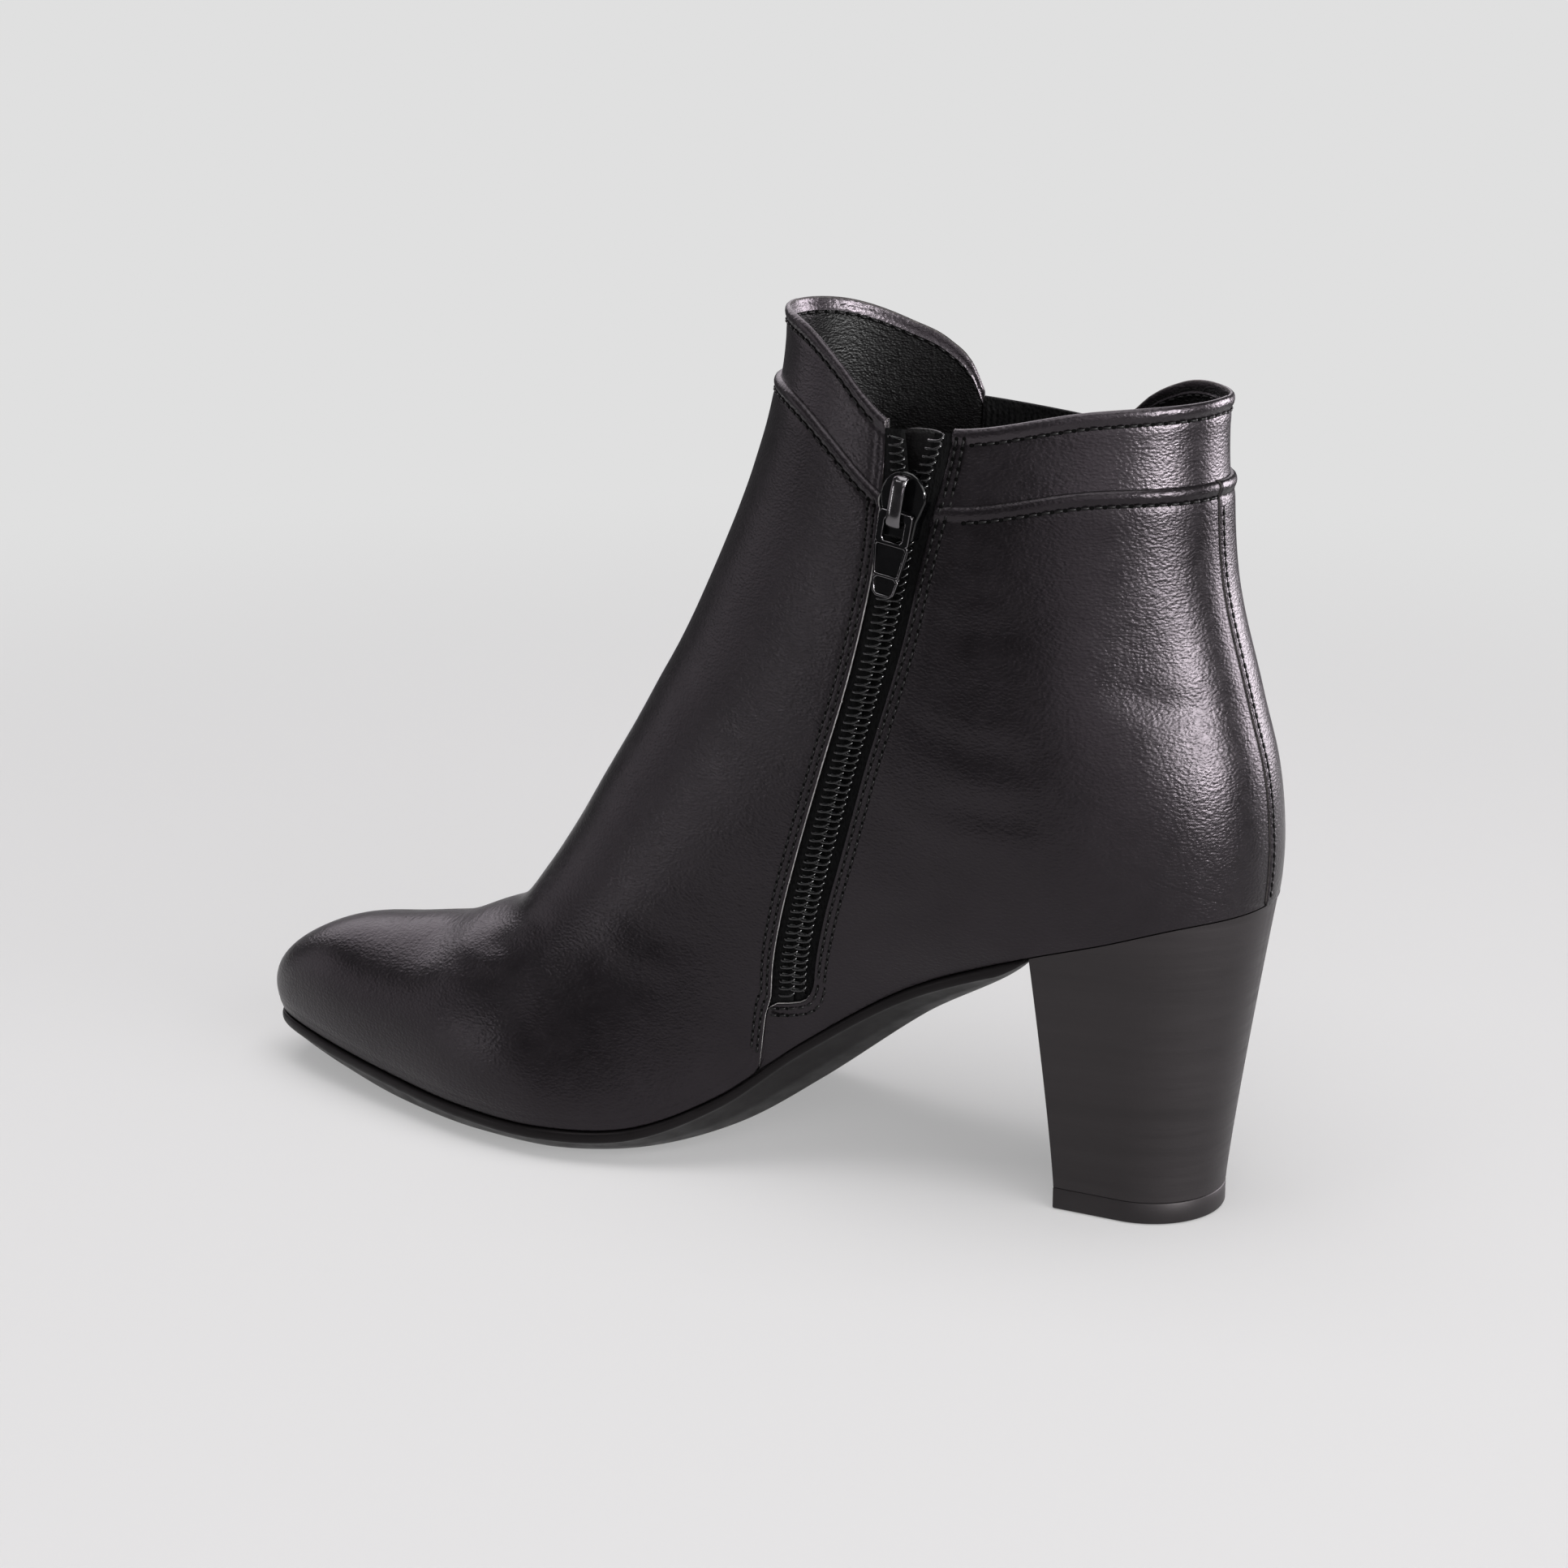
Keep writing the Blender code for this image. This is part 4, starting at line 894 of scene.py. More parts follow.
def raw_edges(faces_rows, columns, fold_columns):
    """Finish numbers of a panel's faces: 1 on the cut edge, which is the second strip of the fold."""
    marks = np.zeros((faces_rows - 1, columns - 1), int)
    for k in fold_columns:
        marks[:, k] = 1
    return marks


# %% [markdown]
# ## Front panel
# One large piece of leather covers the toe, the instep and the front of the shaft. It ends in a folded
# bead under the collar band, in a cut edge along the zip and the elastic, and it laps over the rear
# quarters below them. At the sole its edge turns under. It is laid out as two halves that meet on the
# ridge and are welded there.


# %% Front panel
def front_half(side):
    lower = even_rows(0.0, HEEL_BACK, 0.7, INNER)
    return half_panel(side, FRONT_EDGE[side], 1.0, lower, 52, BAND_LINE[side], BEAD, 56)


def front_panel():
    inner, outer = front_half(INNER), front_half(OUTER)
    grid = np.concatenate([lay(inner, INNER), lay(outer, OUTER)[:, -2::-1]], axis=1)
    rows, columns = grid.shape[:2]
    marks = raw_edges(rows, columns, (1, columns - 3))
    seam_row = int(np.searchsorted(inner.s[:, 0], sole_edge_at(SEAM_START, INNER)))
    marks[:seam_row] = 0
    return sheet(
        "front_panel",
        grid,
        [LEATHER, RAW_EDGE],
        turned=True,
        face_mats=marks.ravel(),
        stands_for=["upper"],
        slot="leather",
    )


front_panel()

# %% [markdown]
# ## Rear quarters
# Two panels wrap the heel. At the back the outer one laps over the inner one by a few millimetres and is
# sewn down, which shows as a step with a stitch row. The lap is part of the outer quarter's own grid,
# with a few more columns past the back line, so light runs over it without a break.

# %% Layout of the quarters
LAP, LAP_LIFT, LAP_BLEND = 5.0, 0.5, 16.0
LAP_STEPS = profile(
    (0.6, 0.5), (1.4, 0.5), (2.4, 0.5), (3.2, 0.48), (3.7, 0.4), (4.2, 0.46), (4.6, 0.44),
    (4.85, 0.36), (4.97, 0.2), (5.0, -0.25),
)


def quarter_half(side):
    lower = even_rows(sole_edge_at(SEAM_START, side) + 0.004, HEEL_BACK, 0.1, side)
    return half_panel(side, REAR_EDGE[side], 0.0, lower, 58, BAND_LINE[side], BEAD, 50)


def tuck(half, side):
    """The quarter dips under the front panel along the seam that runs down to the sole."""
    cut_foot = CUT[side][0].z
    points = skin(half.s, half.t, side)
    front = skin(half.s, FRONT_EDGE[side](half.s), side)
    gap = np.linalg.norm(points - front, axis=-1)
    low = np.clip((cut_foot - 1.0 - points[..., 2]) / 2.0, 0, 1)
    return -0.75 * low * np.exp(-((gap / 3.0) ** 2))


# %% Inner quarter
def inner_quarter():
    half = quarter_half(INNER)
    half = half._replace(lift=half.lift + tuck(half, INNER))
    grid = lay(half, INNER)
    marks = raw_edges(*grid.shape[:2], (1,))
    return sheet("inner_quarter", grid, [LEATHER, RAW_EDGE], face_mats=marks.ravel(), slot="leather")


inner_quarter()


# %% Outer quarter with its lap
def outer_quarter():
    half = quarter_half(OUTER)
    from_back = half.t * mm_per_t(half.s, np.maximum(half.t / 2, 0.01), OUTER)
    rise = np.clip(1 - from_back / LAP_BLEND, 0, 1)
    rise = rise**2 * (3 - 2 * rise) * np.clip((half.s - HEEL_BACK + 0.5) / 0.8, 0, 1)
    half = half._replace(lift=half.lift + tuck(half, OUTER) + LAP_LIFT * rise)
    grid = lay(half, OUTER)
    over = []
    s, lift = half.s[:, -1], half.lift[:, -1] - LAP_LIFT * rise[:, -1]
    for step in LAP_STEPS:
        t = step.away / mm_per_t(s, np.full_like(s, 0.01), INNER)
        points = skin(s, t, INNER)
        raised = points + (lift + step.lift + relief(points, INNER))[:, None] * skin_normal(s, t, INNER)
        over.append(np.where((s < HEEL_BACK)[:, None], grid[:, -1], raised))
    grid = np.concatenate([grid, np.stack(over, axis=1)], axis=1)
    marks = raw_edges(*grid.shape[:2], (1, grid.shape[1] - 2))
    marks[:, -1] *= 2
    return sheet(
        "outer_quarter",
        grid,
        [LEATHER, RAW_EDGE, RIM_EDGE],
        turned=True,
        face_mats=marks.ravel(),
        slot="leather",
    )


outer_quarter()

# %% [markdown]
# ## Collar bands
# A band of the same leather finishes the top, in a front length and a back length. It comes up from under
# the bead of the panels below, a little further in, and rolls over a soft rim to the inside, where the
# lining meets it. The roll is drawn as the row profile itself, from the outside over the top and down the
# inside.

# %% Collar bands
RIM = profile(
    (6.5, -1.20), (5.0, -1.22), (4.2, -1.28), (3.7, -1.38), (3.3, -1.44), (2.9, -1.36), (2.5, -1.14),
    (2.0, -0.94), (1.4, -0.85), (0.8, -0.92), (0.4, -1.10), (0.12, -1.40), (0.0, -1.75), (0.1, -1.95),
    (0.35, -2.10), (0.8, -2.23), (1.5, -2.27), (2.2, -2.31), (2.8, -2.55),
)
BAND_TUCK, BAND_FOOT, BAND_ROWS, RIM_SEAM_ROW = 4.0, -0.45, 16, -5


def band_half(side, edge, middle):
    """A band's half: it starts a little below its seam line, hidden by the bead."""
    t = np.linspace(0, 1, 201)
    start = BAND_LINE[side](t) - BAND_TUCK / mm_per_s(BAND_LINE[side](t), t, side)
    lowest = float(start.min())
    half = half_panel(side, edge, middle, [lowest], BAND_ROWS, COLLAR_LINE[side], RIM, 54)
    first = np.interp(half.t[0], t, start)
    last = half.s[BAND_ROWS]
    share = np.linspace(0, 1, BAND_ROWS + 1)[:, None]
    half.s[: BAND_ROWS + 1] = first + (last - first) * share
    half.lift[: BAND_ROWS + 1] += BAND_FOOT + (RIM[0].lift - BAND_FOOT) * share
    return half


def collar_band(name, edges, middle, turned):
    inner, outer = (band_half(side, edges[side], middle) for side in (INNER, OUTER))
    grid = np.concatenate([lay(inner, INNER, soft=1.5), lay(outer, OUTER, soft=1.5)[:, -2::-1]], axis=1)
    marks = raw_edges(*grid.shape[:2], (1, grid.shape[1] - 3))
    marks[RIM_SEAM_ROW] = 1
    return sheet(name, grid, [BAND_LEATHER, RIM_EDGE], turned=turned, face_mats=marks.ravel(), slot="leather")


collar_band("front_collar_band", FRONT_EDGE, 1.0, True)
collar_band("back_collar_band", REAR_EDGE, 0.0, False)

# %% [markdown]
# ## Lining
# Inside, a soft pebbled lining covers the wall from the rim down to the sock. It is the same layout two
# millimetres further in, so the boot stays hollow and the wall keeps its real thickness.

# %% Lining
LINING_DEPTH = -2.35
LINING_EDGE = profile((0.0, 1.2), (0.0, 0.3), (0.6, 0.0), (2.5, 0.0), (6.0, 0.0))
LINING_TOP = profile((5.0, 0.0), (3.2, 0.0), (2.2, 0.0), (1.6, 0.08))


def lining_part(name, edges, middle, first, turned):
    halves = {}
    for side in (INNER, OUTER):
        lower = even_rows(first, HEEL_BACK, abs(middle - 0.3), INNER)[::2]
        top = COLLAR_LINE[side]
        half = half_panel(side, edges[side], middle, lower, 40, top, LINING_TOP, 34, LINING_EDGE)
        halves[side] = lay(half, side, LINING_DEPTH, soft=0.6)
    if middle == 1.0:
        grid = np.concatenate([halves[INNER], halves[OUTER][:, -2::-1]], axis=1)
        sheet(name, grid, [LINING], turned=turned, slot="lining")
    else:
        sheet(f"{name}_inner", halves[INNER], [LINING], turned=turned, slot="lining")
        sheet(f"{name}_outer", halves[OUTER], [LINING], turned=not turned, slot="lining")


lining_part("front_lining", FRONT_EDGE, 1.0, 3.0, False)
lining_part("rear_lining", REAR_EDGE, 0.0, sole_edge_at(SEAM_START, INNER) + 0.05, True)

# %% [markdown]
# ## Stitching
# Rows of thread hold the folds, the zip and the lap. A Geometry Nodes instance along a curve is the usual
# way, but here each stitch must sink at its ends and follow the leather's own normal, so one small
# rounded stitch is drawn once with numpy and copied along each line, all rows of one panel joined in a
# single mesh.

# %% Stitches
STITCH_PITCH, STITCH_LENGTH, STITCH_WIDTH, STITCH_RISE = 2.6, 2.05, 0.6, 0.34
# Size of the flat disc of painted shade at each needle hole.
HOLE_LENGTH, HOLE_WIDTH = 0.55, 0.44


def stitch_shape():
    """Points, quads and finishes of one stitch along x, its round ends sunk at a needle hole whose shade is
    painted on a flat disc.
    """
    rings, sides = 7, 6
    points = []
    for i in range(rings):
        u = -1 + 2 * i / (rings - 1)
        round_end = math.sqrt(max(0.0, 1 - abs(u) ** 4)) * 0.9 + 0.1
        for k in range(sides):
            a = 2 * math.pi * k / sides
            sink = STITCH_RISE * (0.55 - abs(u) ** 2.5)
            across = math.cos(a) * STITCH_WIDTH / 2 * round_end
            points.append((u * STITCH_LENGTH / 2, across, math.sin(a) * STITCH_RISE * 0.6 * round_end + sink))
    faces = [list(f) for f in grid_faces(rings, sides, close=True)]
    # The needle hole is no hole: a flat disc a hair proud of the leather, near black, as painted shade.
    first = len(points)
    for ring, height in ((1.0, 0.0), (0.75, 0.05), (0.0, 0.05)):
        for k in range(8):
            a = 2 * math.pi * k / 8
            x = STITCH_PITCH / 2 + HOLE_LENGTH * ring * math.cos(a)
            points.append((x, HOLE_WIDTH * ring * math.sin(a), height))
    hole_shade_discs = [list(f + first) for f in grid_faces(3, 8, close=True)]
    return np.array(points), np.array(faces + hole_shade_discs), np.array([0] * len(faces) + [1] * len(hole_shade_discs))


STITCH = stitch_shape()


# %% Stitches along a line
def along(points, pitch):
    """Middle points and directions at equal steps along a line."""
    return at_lengths(points, np.arange(pitch / 2, length_along(points)[-1], pitch))


def stitch_line(s, t, side, lift, pitch=STITCH_PITCH, inside=False):
    """Stitches along a line on the leather: their points, as (count, points of one stitch, 3)."""
    points = skin(s, t, side)
    normal = skin_normal(s, t, side)
    raised = points + (lift + relief(points, side))[:, None] * normal
    rows = along(np.concatenate([raised, -normal if inside else normal], axis=1), pitch)
    ahead = unit(np.gradient(rows[:, :3], axis=0))
    out = unit(rows[:, 3:])
    across = np.cross(out, ahead)
    shape = STITCH[0] * np.array([pitch / STITCH_PITCH, 1.0, 1.0])
    return (
        rows[:, None, :3]
        + shape[None, :, :1] * ahead[:, None]
        + shape[None, :, 1:2] * across[:, None]
        + shape[None, :, 2:] * out[:, None]
    )


def sew(name, lines):
    """All stitches of one panel as a single piece."""
    stitches = np.concatenate(lines)
    count, size = stitches.shape[:2]
    faces = (STITCH[1][None] + (np.arange(count) * size)[:, None, None]).reshape(-1, 4)
    # Finish 1, on the discs at the stitch ends, is the painted shade of the needle holes.
    marks = np.tile(STITCH[2], count)
    made = piece(name, stitches.reshape(-1, 3), faces, [THREAD, HOLE_SHADE], slot="leather", face_mats=marks)
    print(f"{name}: {count} stitches")
    return made


# %% Where the rows of thread run
EDGE_ROWS, EDGE_PITCH = (1.1, 2.7), 2.1


def beside(edge, side, low, high, away, forward, count=2400):
    """A line of s and t that keeps a distance from a panel's edge."""
    s = np.linspace(low, high, count)
    t = edge(s)
    return s, np.clip(t + forward * away / mm_per_t(s, t, side), 0, 1)


def under(line, side, low, high, away, count=300):
    """A line that keeps a distance below the collar or the band."""
    t = np.linspace(low, high, count)
    s = line(t)
    return s - away / mm_per_s(s, t, side), t


def top_of(edge, line, away):
    """The s where a panel's edge meets a line, less a distance of s."""
    s = np.linspace(HEEL_BACK, len(ROW) - 1.1, 400)
    return float(s[np.argmax(line(edge(s)) < s)]) - away


# %% Rows on the front panel
def front_rows():
    lines = []
    for side in (INNER, OUTER):
        start = sole_edge_at(SEAM_START, side) + 0.12
        stop = top_of(FRONT_EDGE[side], BAND_LINE[side], 0.1)
        for away in EDGE_ROWS:
            s, t = beside(FRONT_EDGE[side], side, start, stop, away, 1)
            lines.append(stitch_line(s, t, side, -0.05, EDGE_PITCH))
        first = float(FRONT_EDGE[side](stop)) + 0.02
        s, t = under(BAND_LINE[side], side, first, 1.0, 3.3)
        lines.append(stitch_line(s, t, side, -0.16))
    return lines


sew("front_panel_stitching", front_rows())


# %% Rows on the quarters
def quarter_rows():
    lines = []
    for side in (INNER, OUTER):
        foot = CORNER[side][-1].z + 3.0
        cut_s, _ = find(cut_x(CUT[side], foot, "rear"), foot, side)
        stop = top_of(REAR_EDGE[side], COLLAR_LINE[side], 0.12)
        for away in EDGE_ROWS:
            s, t = beside(REAR_EDGE[side], side, float(cut_s) + 0.02, stop, away, -1)
            over_band = s > BAND_LINE[side](t) - 0.05
            lines.append(stitch_line(s[~over_band], t[~over_band], side, -0.05, EDGE_PITCH))
            lines.append(stitch_line(s[over_band], t[over_band], side, -0.9, EDGE_PITCH))
        band_stop = top_of(REAR_EDGE[side], BAND_LINE[side], 0.0)
        last = float(REAR_EDGE[side](band_stop)) - 0.035
        s, t = under(BAND_LINE[side], side, 0.0, last, 3.3)
        lines.append(stitch_line(s, t, side, -0.16))
    s = np.linspace(HEEL_BACK + 0.1, float(BAND_LINE[INNER](0.02)) - 0.3, 300)
    t = (LAP - 1.3) / mm_per_t(s, np.full_like(s, 0.01), INNER)
    lines.append(stitch_line(s, t, INNER, LAP_LIFT - 0.08, EDGE_PITCH))
    return lines


sew("quarter_stitching", quarter_rows())


# %% Rows at the foot of the zip
def foot_of_zip_rows():
    """Two short rows that turn the corner at the foot of the zip."""
    corner = CORNER[INNER]
    x = np.concatenate([[77.0], column(corner, "x"), [cut_x(SLOT, 48.0, "rear")]])
    z = np.concatenate([[corner[0].z], column(corner, "z"), [48.0]])
    u, fine = np.arange(len(x)), np.linspace(0, len(x) - 1.3, 90)
    path = np.column_stack([smooth(fine, u, x), smooth(fine, u, z)])
    ahead = unit(np.gradient(path, axis=0))
    lines = []
    for away in EDGE_ROWS:
        row_x, row_z = path[:, 0] - away * ahead[:, 1], path[:, 1] + away * ahead[:, 0]
        s, t = find(row_x, row_z, INNER)
        lines.append(stitch_line(s, t, INNER, -0.05, EDGE_PITCH))
    return lines


sew("zip_foot_stitching", foot_of_zip_rows())


# %% Rows at the rim
def rim_rows():
    lines = []
    for edges, in_front in ((FRONT_EDGE, True), (REAR_EDGE, False)):
        for side in (INNER, OUTER):
            meet = float(edges[side](top_of(edges[side], COLLAR_LINE[side], 0.0)))
            low, high = (meet + 0.02, 1.0) if in_front else (0.0, meet - 0.02)
            s, t = under(COLLAR_LINE[side], side, low, high, 3.3)
            lines.append(stitch_line(s, t, side, -1.4))
            lines.append(stitch_line(s, t, side, LINING_DEPTH + 0.04, inside=True))
    return lines


sew("collar_stitching", rim_rows())

# %% [markdown]
# ## Zip
# A coil zip: two woven tapes, and on each a nylon wire wound into a flat spiral whose heads hook into the
# other one. The wire is a real spiral here, worked out turn by turn, because its row of bright dots is
# what says zip. Below the slider the two spirals mesh, half a turn apart; above it they part.

# %% Tapes
ZIP_FOOT, TAPE_TOP, COIL_TOP = SLOT[0].z, 166.4, 165.6
TAPE_DEPTH, TAPE_THICK = 1.2, 0.7
COIL_WIDTH, COIL_PITCH, WIRE = 2.95, 1.65, 0.27
COIL_HOOK, COIL_RISE, STRAND_SAG, COIL_REARWARD = 0.7, 0.7, 0.42, 0.2
SLIDER_Z, COIL_PARTING, GAP = 151.5, 3.3, 0.3
PARTING_START, PARTING_END = SLIDER_Z - 4.0, SLIDER_Z + 14.0


def zip_middle(z):
    return 0.5 * (cut_x(SLOT, z, "front") + cut_x(SLOT, z, "rear"))


def coil_centre(z, half):
    """x of one coil's middle, parted from the other one above the slider. half is 1 in front, -1 behind."""
    u = np.clip((z - PARTING_START) / (PARTING_END - PARTING_START), 0, 1)
    return zip_middle(z) - COIL_REARWARD + half * (COIL_WIDTH / 2 + GAP / 2 + COIL_PARTING * u**1.4)


def zip_tape(half):
    name = "front" if half > 0 else "rear"
    z = np.linspace(ZIP_FOOT - 2.0, TAPE_TOP, 150)[:, None]
    u = np.array([0.0, 0.0, 0.25, 0.5, 0.75, 1.0, 1.15])
    near = coil_centre(z, half) - half * COIL_WIDTH / 2
    far = cut_x(SLOT, z, name) - half * 0.1
    depth = TAPE_DEPTH + np.array([TAPE_THICK, 0, 0, 0, 0, 0.05, 0.4]) + 0 * z
    grid = on_side(near + (far - near) * u, z + 0 * u, INNER, depth)
    return sheet(
        f"woven_tape_{name}", grid, [TAPE], turned=half < 0, stands_for=[f"zip_tape_{name}"], slot="zip_tape"
    )


# %% Coils of wire
def zip_coil(half):
    """The wire of one half: a flat spiral of round wire, its inner heads hooked past the middle."""
    name = "front" if half > 0 else "rear"
    steps, sides = 24, 8
    turns = (COIL_TOP - ZIP_FOOT - 2.2) / COIL_PITCH
    angle = np.linspace(0, 2 * math.pi * turns, int(turns * steps)) + (math.pi if half < 0 else 0)
    z = ZIP_FOOT + 2.0 + COIL_PITCH * (angle - angle[0]) / (2 * math.pi)
    z = z + (COIL_PITCH / 2 if half < 0 else 0) - STRAND_SAG * np.maximum(np.sin(angle), 0)
    swing = np.sign(np.cos(angle)) * np.abs(np.cos(angle)) ** 0.75
    hook = np.where(swing * half < 0, COIL_HOOK, 0.0)
    x = coil_centre(z, half) + swing * (COIL_WIDTH / 2 - WIRE + hook)
    height = 0.1 + COIL_RISE * np.sign(np.sin(angle)) * np.abs(np.sin(angle)) ** 0.7
    path = on_side(x, z, INNER, -height)
    s, t = find(x, z, INNER)
    out = skin_normal(s, t, INNER)
    ahead = unit(np.gradient(path, axis=0))
    across = unit(np.cross(ahead, out))
    up = np.cross(across, ahead)
    ring = np.linspace(0, 2 * math.pi, sides, endpoint=False)[:, None]
    grid = path[:, None] + WIRE * (np.cos(ring) * across[:, None] + np.sin(ring) * up[:, None])
    node_name = f"zip_coil_{name}"
    return sheet(f"nylon_coil_{name}", grid, [COIL], close=True, stands_for=[node_name], slot="zip_coil")


for half in (1, -1):
    zip_tape(half)
    zip_coil(half)

# %% [markdown]
# ## Zip guard
# Behind the zip lies a flap of thin leather that keeps the coil off the stocking. Its rounded top shows
# in the open V over the slider.

# %% Zip guard
GUARD_HALF, GUARD_DEPTH, GUARD_FOOT, GUARD_TOP = 8.5, 3.0, 50.0, 166.6


def zip_guard():
    u = np.linspace(-1, 1, 31)
    v = np.linspace(0, 1, 90)[:, None]
    top = GUARD_TOP - 4.0 * np.abs(u) ** 3.2
    z = GUARD_FOOT + (top - GUARD_FOOT) * v
    x = zip_middle(z) + GUARD_HALF * u * (1 - 0.1 * np.clip((v - 0.95) / 0.05, 0, 1) ** 2)
    front = on_side(x, z, INNER, GUARD_DEPTH + 0 * x)
    back = on_side(x, z, INNER, GUARD_DEPTH + 1.0 + 0 * x)
    grid = np.concatenate([front, back[::-1]], axis=0)
    return sheet("zip_guard_flap", grid, [LINING], turned=True, stands_for=["zip_guard"], slot="lining")


zip_guard()

# %% [markdown]
# ## Slider and pull tab
# The slider is die-cast metal under gloss black lacquer: a shield-shaped plate, turned-down sides, and an
# arched bridge that holds the pull. The tab hangs from the bridge and swings on it, so it rides on its
# own body. Plates are outlines given thickness and a Bevel modifier, which is how such rounded cast
# shapes are quickest made. On the tab the bevel takes the nickel finish, because lacquer wears through at
# the edges first.

# %% Slider frame and plates
SLIDER_HALF_WIDTH, SLIDER_NECK_HALF, SLIDER_UP, SLIDER_DOWN = 5.2, 3.9, 7.2, 6.6
PLATE_THICK, PLATE_FOOT, SHIELD_WIDEST = 1.1, 1.25, 1.8
BRIDGE_HALF, BRIDGE_RISE, BRIDGE_THICK, BRIDGE_WIDTH, BRIDGE_UP = 5.6, 3.1, 1.0, 3.2, 1.1


def slider_axes():
    """Corner and axes of the slider: across the zip, up along it, out of the boot."""
    at = on_side(zip_middle(SLIDER_Z), SLIDER_Z, INNER)
    high, low = (on_side(zip_middle(SLIDER_Z + k), SLIDER_Z + k, INNER) for k in (6, -18))
    front, rear = (on_side(zip_middle(SLIDER_Z) + k, SLIDER_Z, INNER) for k in (4, -4))
    up = unit(high - low)
    out = unit(np.cross(front - rear, up))
    out = out if out[1] > 0 else -out
    return at, np.cross(up, out), up, out


SLIDER = slider_axes()


def in_slider(points):
    """Slider coordinates (across, up, out) in millimetres to the boot's own."""
    at, across, up, out = SLIDER
    points = np.asarray(points, float)
    return at + points[..., :1] * across + points[..., 1:2] * up + points[..., 2:] * out


def plate(name, outline, low, high, bevel, mats, **rest):
    """An outline in the slider's plane given thickness, with rounded edges."""
    n = len(outline)
    points = [(x, y, low) for x, y in outline] + [(x, y, high) for x, y in outline]
    faces = [list(range(n))[::-1], list(range(n, 2 * n))]
    faces += [[k, (k + 1) % n, n + (k + 1) % n, n + k] for k in range(n)]
    obj = piece(name, in_slider(points), faces, mats, **rest)
    clean(obj, outward=True)
    return rounded(obj, bevel)


def shield(grow=0.0):
    """Outline of the slider's plate, round above and narrow below."""
    half = []
    for turn in (0.25, 0.5, 0.75, 1.0, 1.25, 1.57):
        x = (SLIDER_HALF_WIDTH + grow) * math.sin(turn)
        half.append((x, SHIELD_WIDEST + (SLIDER_UP - SHIELD_WIDEST + grow) * math.cos(turn)))
    half += [(SLIDER_NECK_HALF + 0.7 + grow, -0.6), (SLIDER_NECK_HALF + 0.1 + grow, -2.4)]
    half += [(SLIDER_NECK_HALF - 0.2 + grow, -SLIDER_DOWN)]
    return [(0, SLIDER_UP + grow), *half, *[(-x, y) for x, y in reversed(half)]]


# %% Slider
def slider():
    plate(
        "slider_shield",
        shield(),
        PLATE_FOOT,
        PLATE_FOOT + PLATE_THICK,
        0.5,
        [LACQUER],
        stands_for=["zip_slider"],
        slot="zip_metal",
    )
    plate("slider_under_plate", shield(-0.3), -3.0, -2.3, 0.2, [LACQUER], slot="zip_metal")
    neck = [(-0.7, 4.4), (0.7, 4.4), (0.7, 6.4), (-0.7, 6.4)]
    plate("slider_neck", neck, -2.4, PLATE_FOOT + 0.2, 0.15, [LACQUER], slot="zip_metal")
    for way in (1, -1):
        side = [(SLIDER_HALF_WIDTH - 0.2, SHIELD_WIDEST), (SLIDER_NECK_HALF + 0.55, -0.6)]
        side += [(SLIDER_NECK_HALF, -2.4), (SLIDER_NECK_HALF - 0.3, -SLIDER_DOWN + 0.2)]
        strip = side + [(x - 0.7, y) for x, y in reversed(side)]
        strip = [(way * x, y) for x, y in strip]
        name = "slider_side_front" if way < 0 else "slider_side_rear"
        plate(name, strip, -0.9, PLATE_FOOT + 0.3, 0.2, [LACQUER], slot="zip_metal")


slider()


# %% Bridge
def slider_bridge():
    """The arched bridge: a rounded strip bent over the plate from end to end."""
    a = np.linspace(0, math.pi, 33)
    top = PLATE_FOOT + PLATE_THICK
    y = BRIDGE_UP - BRIDGE_HALF * np.sign(np.cos(a)) * np.abs(np.cos(a)) ** 0.55
    z = top - 0.3 + (BRIDGE_RISE + 0.3) * np.abs(np.sin(a)) ** 0.45
    path = np.column_stack([y, z])
    ahead = unit(np.gradient(path, axis=0))
    out = np.column_stack([-ahead[:, 1], ahead[:, 0]])
    ring = np.linspace(0, 2 * math.pi, 20, endpoint=False)
    wide = np.sign(np.cos(ring)) * np.abs(np.cos(ring)) ** 0.85
    tall = np.sign(np.sin(ring)) * np.abs(np.sin(ring)) ** 0.95
    grid = np.zeros((len(a), len(ring), 3))
    grid[..., 0] = BRIDGE_WIDTH / 2 * wide
    grid[..., 1] = path[:, :1] + out[:, :1] * (tall - 1) * BRIDGE_THICK / 2
    grid[..., 2] = path[:, 1:] + out[:, 1:] * (tall - 1) * BRIDGE_THICK / 2
    return sheet("slider_bridge", in_slider(grid), [NICKEL], close=True, slot="zip_metal")


slider_bridge()

# %% Pull tab
PIN_DOWN, PIN_HEIGHT = 1.6, 3.35
PULL_HALF_TOP, PULL_HALF_FOOT, PULL_LENGTH, PULL_THICK = 3.9, 2.5, 17.0, 1.3
EYE_HALF, EYE_LENGTH, PULL_BAR = 2.3, 5.6, 12.6


def tapered(low, high, inset, corner):
    """A four-sided outline inside the tab between two distances below the pin, with cut corners."""
    def half(y):
        share = np.clip((y - EYE_LENGTH) / (PULL_LENGTH - EYE_LENGTH), 0, 1)
        return PULL_HALF_TOP + (PULL_HALF_FOOT - PULL_HALF_TOP) * share - inset
    right = [(half(low) - corner, -low), (half(low), -low - corner)]
    right += [(half(high), -high + corner), (half(high) - corner, -high)]
    outline = right + [(-x, y) for x, y in reversed(right)]
    return [(x, y - PIN_DOWN) for x, y in outline]


